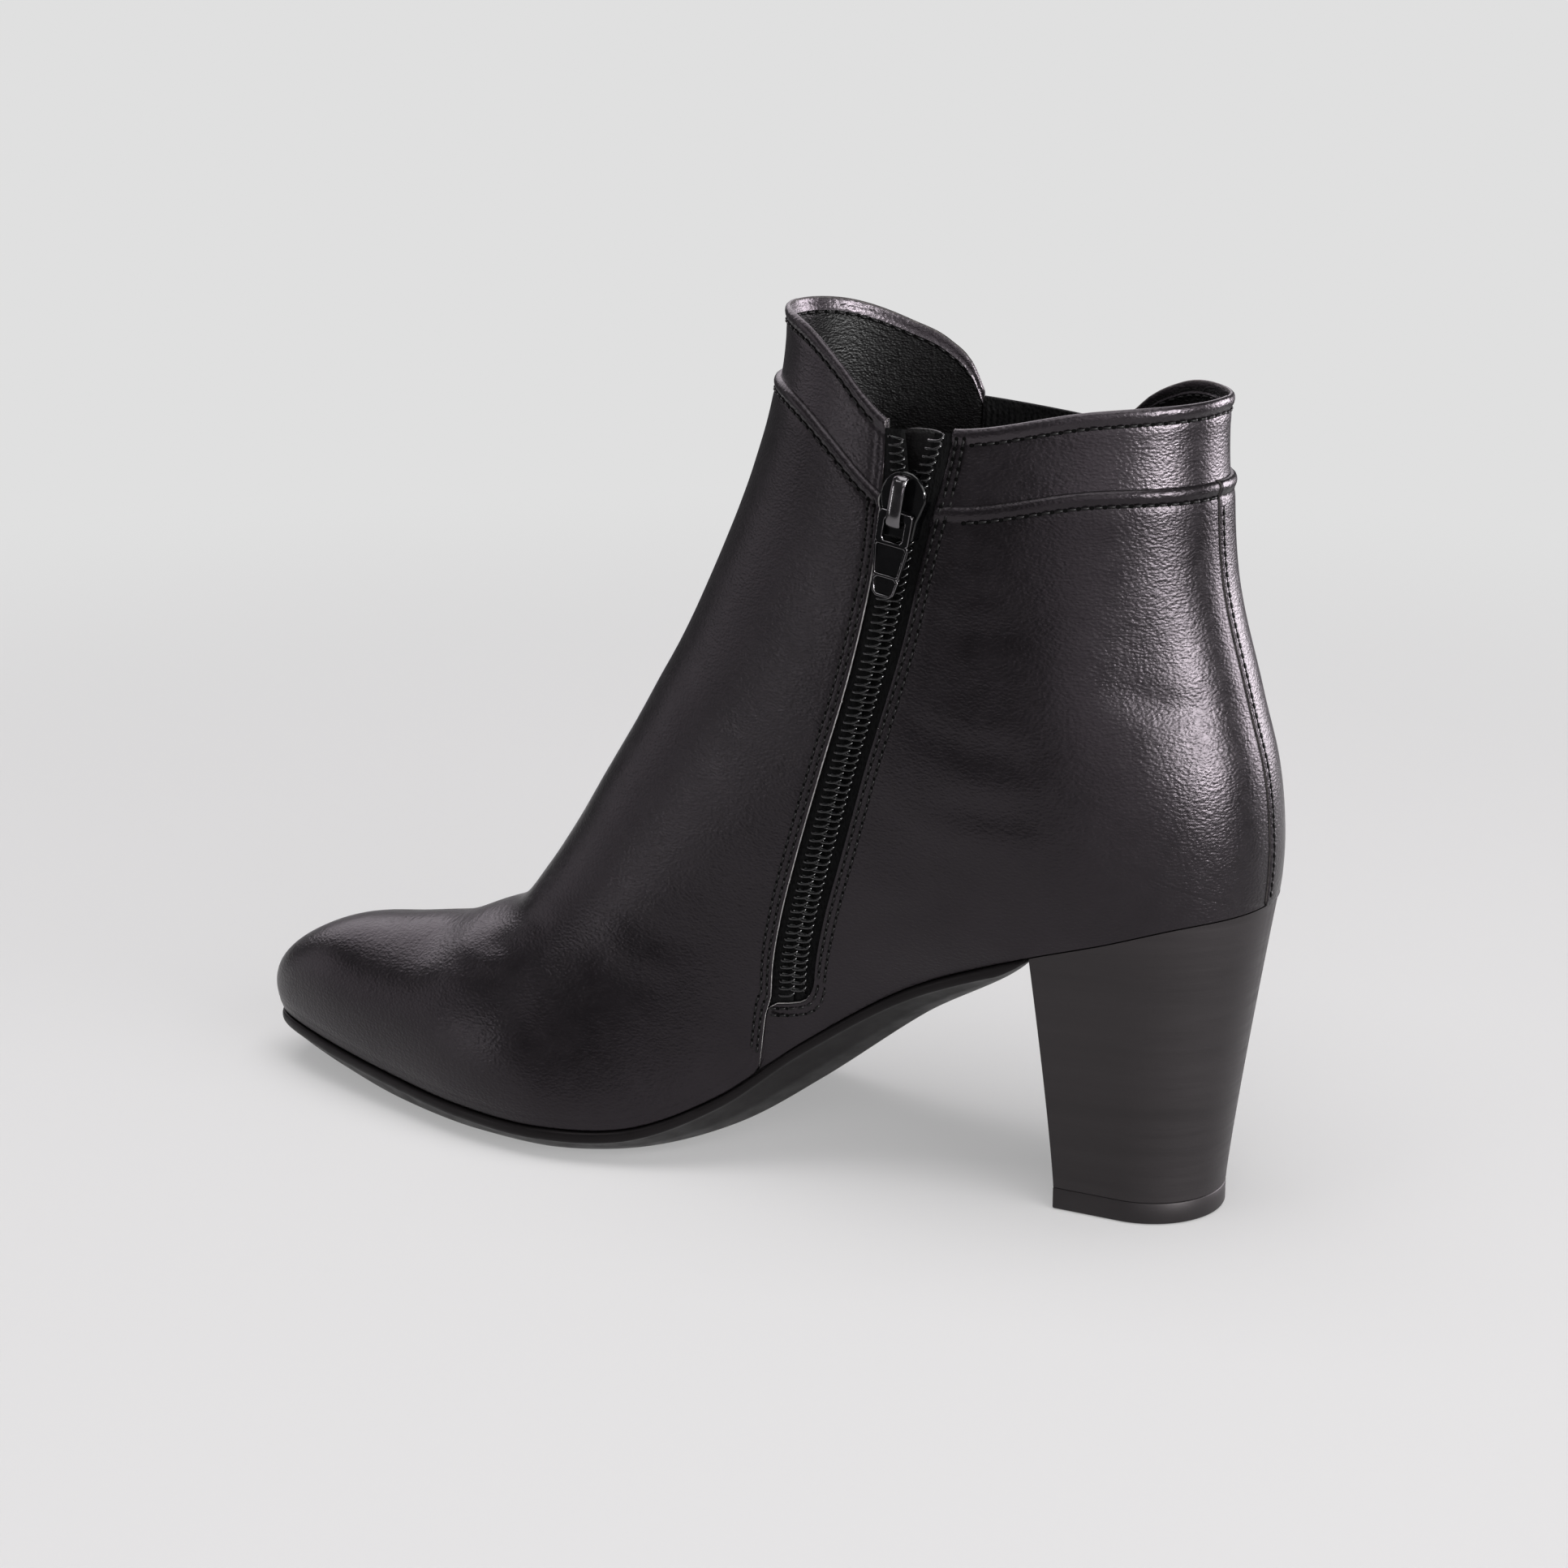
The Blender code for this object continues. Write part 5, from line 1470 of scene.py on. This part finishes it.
# %% Frames of the tab
def frame_plate(name, outer, inner, low, high, bevel, **rest):
    """A flat frame: the space between two outlines with the same number of points, given thickness."""
    n = len(outer)
    points = [(x, y, z) for z in (low, high) for ring in (outer, inner) for x, y in ring]
    faces = []
    for k in range(n):
        j = (k + 1) % n
        faces += [[k, n + k, n + j, j], [2 * n + k, 2 * n + j, 3 * n + j, 3 * n + k]]
        faces += [[k, j, 2 * n + j, 2 * n + k], [n + k, 3 * n + k, 3 * n + j, n + j]]
    obj = piece(name, in_slider(points), faces, [LACQUER, NICKEL], body="pull_tab", slot="zip_metal", **rest)
    clean(obj, outward=True)
    return rounded(obj, bevel)


def pull_tab():
    low, high = PIN_HEIGHT - PULL_THICK / 2, PIN_HEIGHT + PULL_THICK / 2
    eye = [(x * EYE_HALF / PULL_HALF_TOP, y) for x, y in tapered(0.7, EYE_LENGTH, 0.0, 0.9)]
    ring = tapered(-0.7, EYE_LENGTH + 0.6, 0.0, 0.5)
    frame_plate("pull_ring", ring, eye, low, high, 0.3, stands_for=["zip_pull"])
    body = tapered(EYE_LENGTH + 0.2, PULL_LENGTH, 0.0, 0.9)
    worn = [LACQUER, NICKEL]
    plate("pull_panel", body, low + 0.1, high - 0.55, 0.2, worn, body="pull_tab", slot="zip_metal")
    window = tapered(EYE_LENGTH + 0.8, PULL_BAR - 0.2, 0.55, 0.3)
    border = tapered(EYE_LENGTH + 0.2, PULL_BAR + 0.3, 0.0, 0.3)
    frame_plate("pull_frame_upper", border, window, low + 0.3, high, 0.2)
    window = tapered(PULL_BAR + 0.4, PULL_LENGTH - 0.55, 0.55, 0.6)
    border = tapered(PULL_BAR - 0.2, PULL_LENGTH, 0.0, 0.9)
    frame_plate("pull_frame_lower", border, window, low + 0.3, high, 0.2)


pull_tab()

# %% [markdown]
# ## Elastic
# On the outer side a panel of woven elastic lets the collar stretch. It is ribbed along its height and
# bound at the top. The ribs are wide enough to see, so they are geometry, and the weave between them is
# bump.

# %% Elastic panel
GORE_DEPTH, GORE_TOP_FRONT, GORE_TOP_REAR = 0.6, 165.0, 161.0
RIB, RIB_HEIGHT, RIB_BACK, BINDING = 1.5, 0.25, 0.1, 2.6
GORE_SPAN, GORE_TUCK = 40.0, 2.4


def elastic_panel():
    u = np.linspace(0, 1, 221)
    v = np.concatenate([np.linspace(0, 0.95, 70), np.linspace(0.955, 1, 12)])[:, None]
    top = GORE_TOP_FRONT + (GORE_TOP_REAR - GORE_TOP_FRONT) * u
    foot = GORE[0].z - GORE_TUCK
    z = foot + (top - foot) * v
    front, rear = cut_x(GORE, z, "front") + 0.5, cut_x(GORE, z, "rear") - 0.5
    x = front + (rear - front) * u
    ribs = np.cos(2 * math.pi * GORE_SPAN * u / RIB)
    bound = np.clip((BINDING - (top - z)) / 0.5, 0, 1)
    bulge = 0.35 * np.sqrt(np.clip(1 - ((top - z - BINDING / 2) / (BINDING / 2)) ** 2, 0, 1))
    lift = (1 - bound) * RIB_HEIGHT * ribs + bound * bulge
    grid = on_side(x, z, OUTER, GORE_DEPTH - lift)
    back = on_side(x, z, OUTER, GORE_DEPTH + 1.1 + (1 - bound) * RIB_BACK * ribs)
    grid = np.concatenate([grid, back[::-1]], axis=0)
    return sheet("elastic_panel", grid, [ELASTIC], stands_for=["elastic_gore"], slot="elastic")


elastic_panel()

# %% [markdown]
# ## Outsole
# A thin rubber sole follows the edge of the last, with a small raised lip, a wide bevel under the waist,
# a toe spring and a flat tread at the ball. It is a loft: at each place along the foot a ring of corner
# points, whose corners are then cut twice to round them, all rings at once.

# %% Outsole
SolePoint = namedtuple("SolePoint", "name keel tuck cup")
SOLE = [
    SolePoint("toe tip", 9.6, 0.0, 0.0),
    SolePoint("toe nose", 9.0, 1.6, 0.2),
    SolePoint("toe front", 8.0, 2.8, 0.4),
    SolePoint("toe", 6.4, 3.6, 0.6),
    SolePoint("toe box", 3.8, 4.6, 0.9),
    SolePoint("toe root", 1.2, 5.4, 1.2),
    SolePoint("ball front", 0.0, 7.0, 1.5),
    SolePoint("ball", 0.0, 8.0, 1.6),
    SolePoint("ball back", 1.8, 9.4, 2.0),
    SolePoint("waist front", 8.0, 11.0, 3.6),
    SolePoint("waist", 19.8, 12.0, 4.2),
    SolePoint("waist back", 38.6, 10.5, 3.0),
    SolePoint("heel breast", 57.4, 5.0, 0.0),
]
SOLE_MARGIN, SOLE_LIP, LIP_GROOVE = 0.7, 2.4, 0.8
SOLE_STATIONS = [ROW[point.name] for point in SOLE]


def cut_corners(rings, radius):
    """Rounds closed rings of points (rings, points, 3) by cutting each corner back by up to a radius."""
    after = np.roll(rings, -1, axis=1)
    length = np.linalg.norm(after - rings, axis=-1, keepdims=True)
    share = np.clip(radius / np.maximum(length, 1e-6), 0, 0.42)
    made = np.stack([rings + (after - rings) * share, after - (after - rings) * share], axis=2)
    return made.reshape(len(rings), -1, 3)


def bed(s, across):
    """The surface between the two sole edges, hollowed under the foot: across is 0 inside, 1 outside."""
    inner, outer = skin(s, 0.0, INNER), skin(s, 0.0, OUTER)
    cups = [point.cup for point in SOLE] + [0.0]
    hollow = np.interp(s, SOLE_STATIONS + [HEEL_BACK], cups) * (1 - np.abs(2 * across - 1) ** 2.4)
    down = hollow[..., None] * np.array([0.0, 0.0, 1.0])
    return inner + (outer - inner) * np.asarray(across)[..., None] - down


# %% Loft of the sole
def outsole():
    s = np.concatenate([np.linspace(0, 0.5, 14), np.linspace(0.53, BREAST, 230)])
    keel = np.maximum(0.0, smooth(s, SOLE_STATIONS, column(SOLE, "keel")))
    tuck = smooth(s, SOLE_STATIONS, column(SOLE, "tuck"))
    spread = np.minimum(1.0, s)
    ends = []
    for side in (INNER, OUTER):
        edge = skin(s, 0.0, side) - np.array([0, 0, GAP])
        out = np.column_stack([0 * s, side * spread, 0 * s])
        top = edge + out * SOLE_MARGIN
        lip = np.minimum(SOLE_LIP, 0.55 * (top[:, 2] - keel))
        low = np.column_stack([edge[:, 0], edge[:, 1] + side * (SOLE_MARGIN - tuck) * spread, keel])
        drop = np.column_stack([0 * s, 0 * s, lip])
        crease = top - drop * 1.1 - out * LIP_GROOVE
        bevel = np.interp(s, [0, 7, 10, 12], [0.04, 0.04, 0.12, 0.08]) * (crease[:, 2] - keel)
        turn = 0.5 * (crease + low) - np.column_stack([0 * s, 0 * s, bevel])
        ends.append([edge - out * 1.5, top, top - drop * 0.95 + out * 0.1, crease, turn, low])
    middle = 0.5 * (ends[0][-1] + ends[1][-1])
    centre = bed(s, np.full_like(s, 0.5)) - np.array([0, 0, GAP])
    ring = np.stack([centre, *ends[0], middle, *ends[1][::-1]], axis=1)
    ring = cut_corners(cut_corners(ring, 0.5), 0.22)
    grid = np.concatenate([ring, closed_end(ring[-1])])
    grid[..., 2] = np.maximum(grid[..., 2], 0.0)
    obj = sheet("rubber_outsole", grid, [SOLE_RUBBER], close=True, stands_for=["outsole"], slot="sole_rubber")
    return crisp(clean(obj, outward=True), 50)


outsole()

# %% [markdown]
# ## Sock
# Inside, the foot stands on a sock of thin lining material over the insole board.

# %% Insole
INSOLE_FIRST, INSOLE_LAST, INSOLE_INSET, INSOLE_TOP = 1.8, ROW["heel turn"] + 0.5, 2.9, 2.2


def insole():
    s = np.linspace(INSOLE_FIRST, INSOLE_LAST, 160)
    inner, outer = skin(s, 0.0, INNER), skin(s, 0.0, OUTER)
    width = inner[:, 1] - outer[:, 1]
    inset = INSOLE_INSET / width
    across = inset[:, None] + (1 - 2 * inset[:, None]) * np.linspace(0, 1, 41)
    top = bed(s[:, None] + 0 * across, across) + np.array([0, 0, INSOLE_TOP])
    top[..., 2] -= 0.5 * np.abs(np.linspace(-1, 1, 41)) ** 12
    low = top - np.array([0, 0, 1.9])
    grid = np.concatenate([top, low[:, ::-1]], axis=1)
    obj = sheet("insole_sock", grid, [SOCK], close=True, stands_for=["insole"], slot="lining")
    return clean(obj, outward=True)


insole()

# %% [markdown]
# ## Heel
# The heel is a block with a round back and a flat breast, wider at the seat than at the foot, under a
# matt cover with faint layer lines. Its foot carries a rubber top piece, and a fine dark joint shows
# between the two.

# %% Outlines of the heel
HEEL_SWEEP, TOP_PIECE, HEEL_BREAST_GAP = 1.15, 4.8, 0.5
HEEL_COUNT = 180


def evenly(points, count):
    """The same line with its points at equal distances."""
    return at_lengths(points, np.linspace(0, length_along(points)[-1], count))


def heel_foot_outline(inset=0.0):
    arc = np.radians(np.linspace(90, 270, 61))
    radius = HEEL_FOOT_RADIUS - inset
    back = np.column_stack([radius * np.cos(arc), radius * np.sin(arc)])
    front, corner = HEEL_FOOT_FRONT - inset, HEEL_FOOT_CORNER - inset
    return evenly(np.vstack([[(front, corner)], back, [(front, -corner)]]), HEEL_COUNT)


def heel_seat_outline():
    s = np.linspace(BREAST + 0.001, HEEL_BACK, 300)
    breast = skin(BREAST, 0.0, INNER)[0] - HEEL_BREAST_GAP
    inner, outer = skin(s, 0.0, INNER), skin(s[::-1], 0.0, OUTER)
    line = np.vstack([inner[inner[:, 0] < breast], outer[outer[:, 0] < breast]])
    return evenly(line, HEEL_COUNT) - np.array([0, 0, GAP])


# %% Heel block
def heel():
    foot, seat = heel_foot_outline(), heel_seat_outline()
    base = TOP_PIECE + 0.12
    v = np.linspace(0, 1, 60)[:, None]
    ring = np.zeros((60, HEEL_COUNT, 3))
    ring[..., :2] = foot + (seat[:, :2] - foot) * (v**HEEL_SWEEP)[..., None]
    ring[..., 2] = base + (seat[:, 2] - base) * v
    ring = cut_corners(cut_corners(ring, 0.55), 0.25)
    grid = np.concatenate([closed_end(ring[0]), ring, closed_end(ring[-1])])
    obj = sheet("heel_block", grid, [STACKED], close=True, stands_for=["heel"], slot="heel_stack")
    return crisp(clean(obj, outward=True), 50)


heel()


# %% Top piece
def top_piece():
    levels = [(0.0, 0.35), (0.12, 0.12), (0.35, 0.0)]
    levels += [(TOP_PIECE - 0.3, 0.0), (TOP_PIECE - 0.1, 0.1), (TOP_PIECE, 0.3)]
    rings = np.array([[(x, y, z) for x, y in heel_foot_outline(inset)] for z, inset in levels])
    rings = cut_corners(rings, 0.4)
    grid = np.concatenate([closed_end(rings[0]), rings, closed_end(rings[-1])])
    obj = sheet(
        "heel_top_lift",
        grid,
        [TOP_RUBBER],
        close=True,
        stands_for=["heel_top_piece"],
        slot="top_piece_rubber",
    )
    return crisp(clean(obj, outward=True), 50)


top_piece()

# %% [markdown]
# ## Floor
# The photograph has a pale seamless floor that fades into an even grey. One wide plane would do, but
# smooth black leather would then mirror pale floor from every side. So the floor is two planes with one
# finish: a near one the size of a table, and a far one that gloss doesn't see, as on a white table in a
# dark room.

# %% Floor
FLOOR_GREY, FLOOR_REACH, FLOOR_SHARE = 0.745, 0.75, 0.55
NEAR_HALF, NEAR_DROP, FAR_HALF, FAR_DROP = 0.45, 0.0002, 14.0, 0.0006


def floor_finish():
    """Near the boot the floor takes light and shadow, further out it is an even grey."""
    mat = finish("pale_floor", (0.9, 0.88, 0.888), 0.9, Specular_IOR_Level=0.1)
    even = node(mat, "ShaderNodeEmission", Strength=1.0)
    even.inputs["Color"].default_value = (FLOOR_GREY, FLOOR_GREY, FLOOR_GREY, 1)
    near = node(mat, "ShaderNodeTexGradient", gradient_type="SPHERICAL")
    link(mat, stretched(mat, (1 / FLOOR_REACH, 1 / FLOOR_REACH, 1)), near.inputs["Vector"])
    soft = node(mat, "ShaderNodeMapRange", interpolation_type="SMOOTHSTEP")
    soft.inputs["From Max"].default_value = 0.6
    soft.inputs["To Max"].default_value = FLOOR_SHARE
    link(mat, near.outputs["Fac"], soft.inputs["Value"])
    both = node(mat, "ShaderNodeMixShader")
    link(mat, soft.outputs["Result"], both.inputs["Fac"])
    link(mat, even.outputs["Emission"], both.inputs[1])
    link(mat, mat.node_tree.nodes["Principled BSDF"].outputs["BSDF"], both.inputs[2])
    link(mat, both.outputs["Shader"], mat.node_tree.nodes["Material Output"].inputs["Surface"])
    return mat


def floor(name, half, height, mat):
    mesh = bpy.data.meshes.new(name)
    corners = [(x * half, y * half, height) for x, y in ((-1, -1), (1, -1), (1, 1), (-1, 1))]
    mesh.from_pydata(corners, [], [[0, 1, 2, 3]])
    mesh.materials.append(mat)
    obj = bpy.data.objects.new(name, mesh)
    bpy.context.collection.objects.link(obj)
    return obj


PALE = floor_finish()
floor("floor_near", NEAR_HALF, -NEAR_DROP, PALE)
floor("floor_far", FAR_HALF, -FAR_DROP, PALE).visible_glossy = False

# %% [markdown]
# ## Light
# Three broad panels light the boot and the floor softly. The others are accents: a panel or strip placed
# where its mirror image draws one highlight of the photograph, such as the long one on the rear quarter
# or the dots on the zip. They are hidden from diffuse light, so the floor keeps its even grey.


# %% Light
def softbox(name, turn, height, distance, size, radiance, tint=(1, 1, 1), accent=False):
    """A soft panel that looks at the boot: turn from the toe's direction and height, in degrees.

    An accent is a panel that only draws a highlight and leaves the floor as it is."""
    light = bpy.data.lights.new(name, "AREA")
    light.shape = "RECTANGLE"
    light.size, light.size_y = size
    light.energy = radiance * math.pi * size[0] * size[1]
    light.color = tint
    turn, height = math.radians(turn), math.radians(height)
    way = Vector((math.cos(turn) * math.cos(height), math.sin(turn) * math.cos(height), math.sin(height)))
    obj = bpy.data.objects.new(name, light)
    obj.location = Vector((0, 0, 0.1)) + way * distance
    obj.rotation_euler = (-way).to_track_quat("-Z", "Y").to_euler()
    obj.visible_diffuse = not accent
    bpy.context.collection.objects.link(obj)
    return obj


LILAC = (1.0, 0.93, 0.99)
softbox("overhead_panel", 100, 82, 1.8, (1.6, 1.6), 3.1)
softbox("rear_fill", 160, 24, 1.8, (1.2, 0.9), 3.2)
softbox("near_panel", 116, 26, 2.0, (1.5, 0.9), 1.7)
softbox("low_panel", 114, 0, 1.2, (0.5, 0.2), 2.4, tint=LILAC, accent=True)
softbox("heel_panel", 157, 10.4, 1.5, (0.55, 0.14), 140, accent=True)
softbox("back_panel", 228, 8, 1.5, (0.8, 0.6), 16, tint=LILAC, accent=True)
softbox("toe_panel", -54, 37, 1.6, (2.0, 1.4), 2.1, tint=LILAC, accent=True)
softbox("instep_panel", 10, 10, 1.7, (1.0, 0.8), 0.8, tint=LILAC, accent=True)
softbox("zip_strip_low", 42, 3, 0.9, (0.03, 0.28), 18, accent=True)
softbox("zip_strip_high", 57, 38, 1.2, (0.5, 0.06), 6, accent=True)

world = bpy.data.worlds.new("studio")
bpy.context.scene.world = world
world.use_nodes = True
world.node_tree.nodes["Background"].inputs["Color"].default_value = (0.9, 0.88, 0.92, 1)
world.node_tree.nodes["Background"].inputs["Strength"].default_value = 0.1
bpy.context.scene.view_settings.view_transform = "Standard"

# %% [markdown]
# ## Camera
# The camera stands behind the inner side, a little above the collar, with a long lens. Its place was
# fitted to points of the photograph, such as the toe, the heel and the collar, so it is written down as
# plain numbers.

# %% Camera
CAMERA_PLACE = np.array([-199.1, 618.5, 279.6])
CAMERA_TURN, CAMERA_PITCH = 24.723, 16.255
FOCAL_PIXELS, FRAME_PIXELS, SENSOR = 3999.7, 1932, 36.0


def camera():
    turn, pitch = math.radians(CAMERA_TURN), math.radians(CAMERA_PITCH)
    ahead = Vector((math.sin(turn) * math.cos(pitch), -math.cos(turn) * math.cos(pitch), -math.sin(pitch)))
    data = bpy.data.cameras.new("camera")
    data.sensor_width = SENSOR
    data.lens = SENSOR * FOCAL_PIXELS / FRAME_PIXELS
    data.clip_start, data.clip_end = 0.01, 50
    obj = bpy.data.objects.new("camera", data)
    obj.location = (CAMERA_PLACE + SHIFT) * MM
    obj.rotation_mode = "QUATERNION"
    obj.rotation_quaternion = ahead.to_track_quat("-Z", "Y")
    bpy.context.collection.objects.link(obj)
    bpy.context.scene.camera = obj


camera()
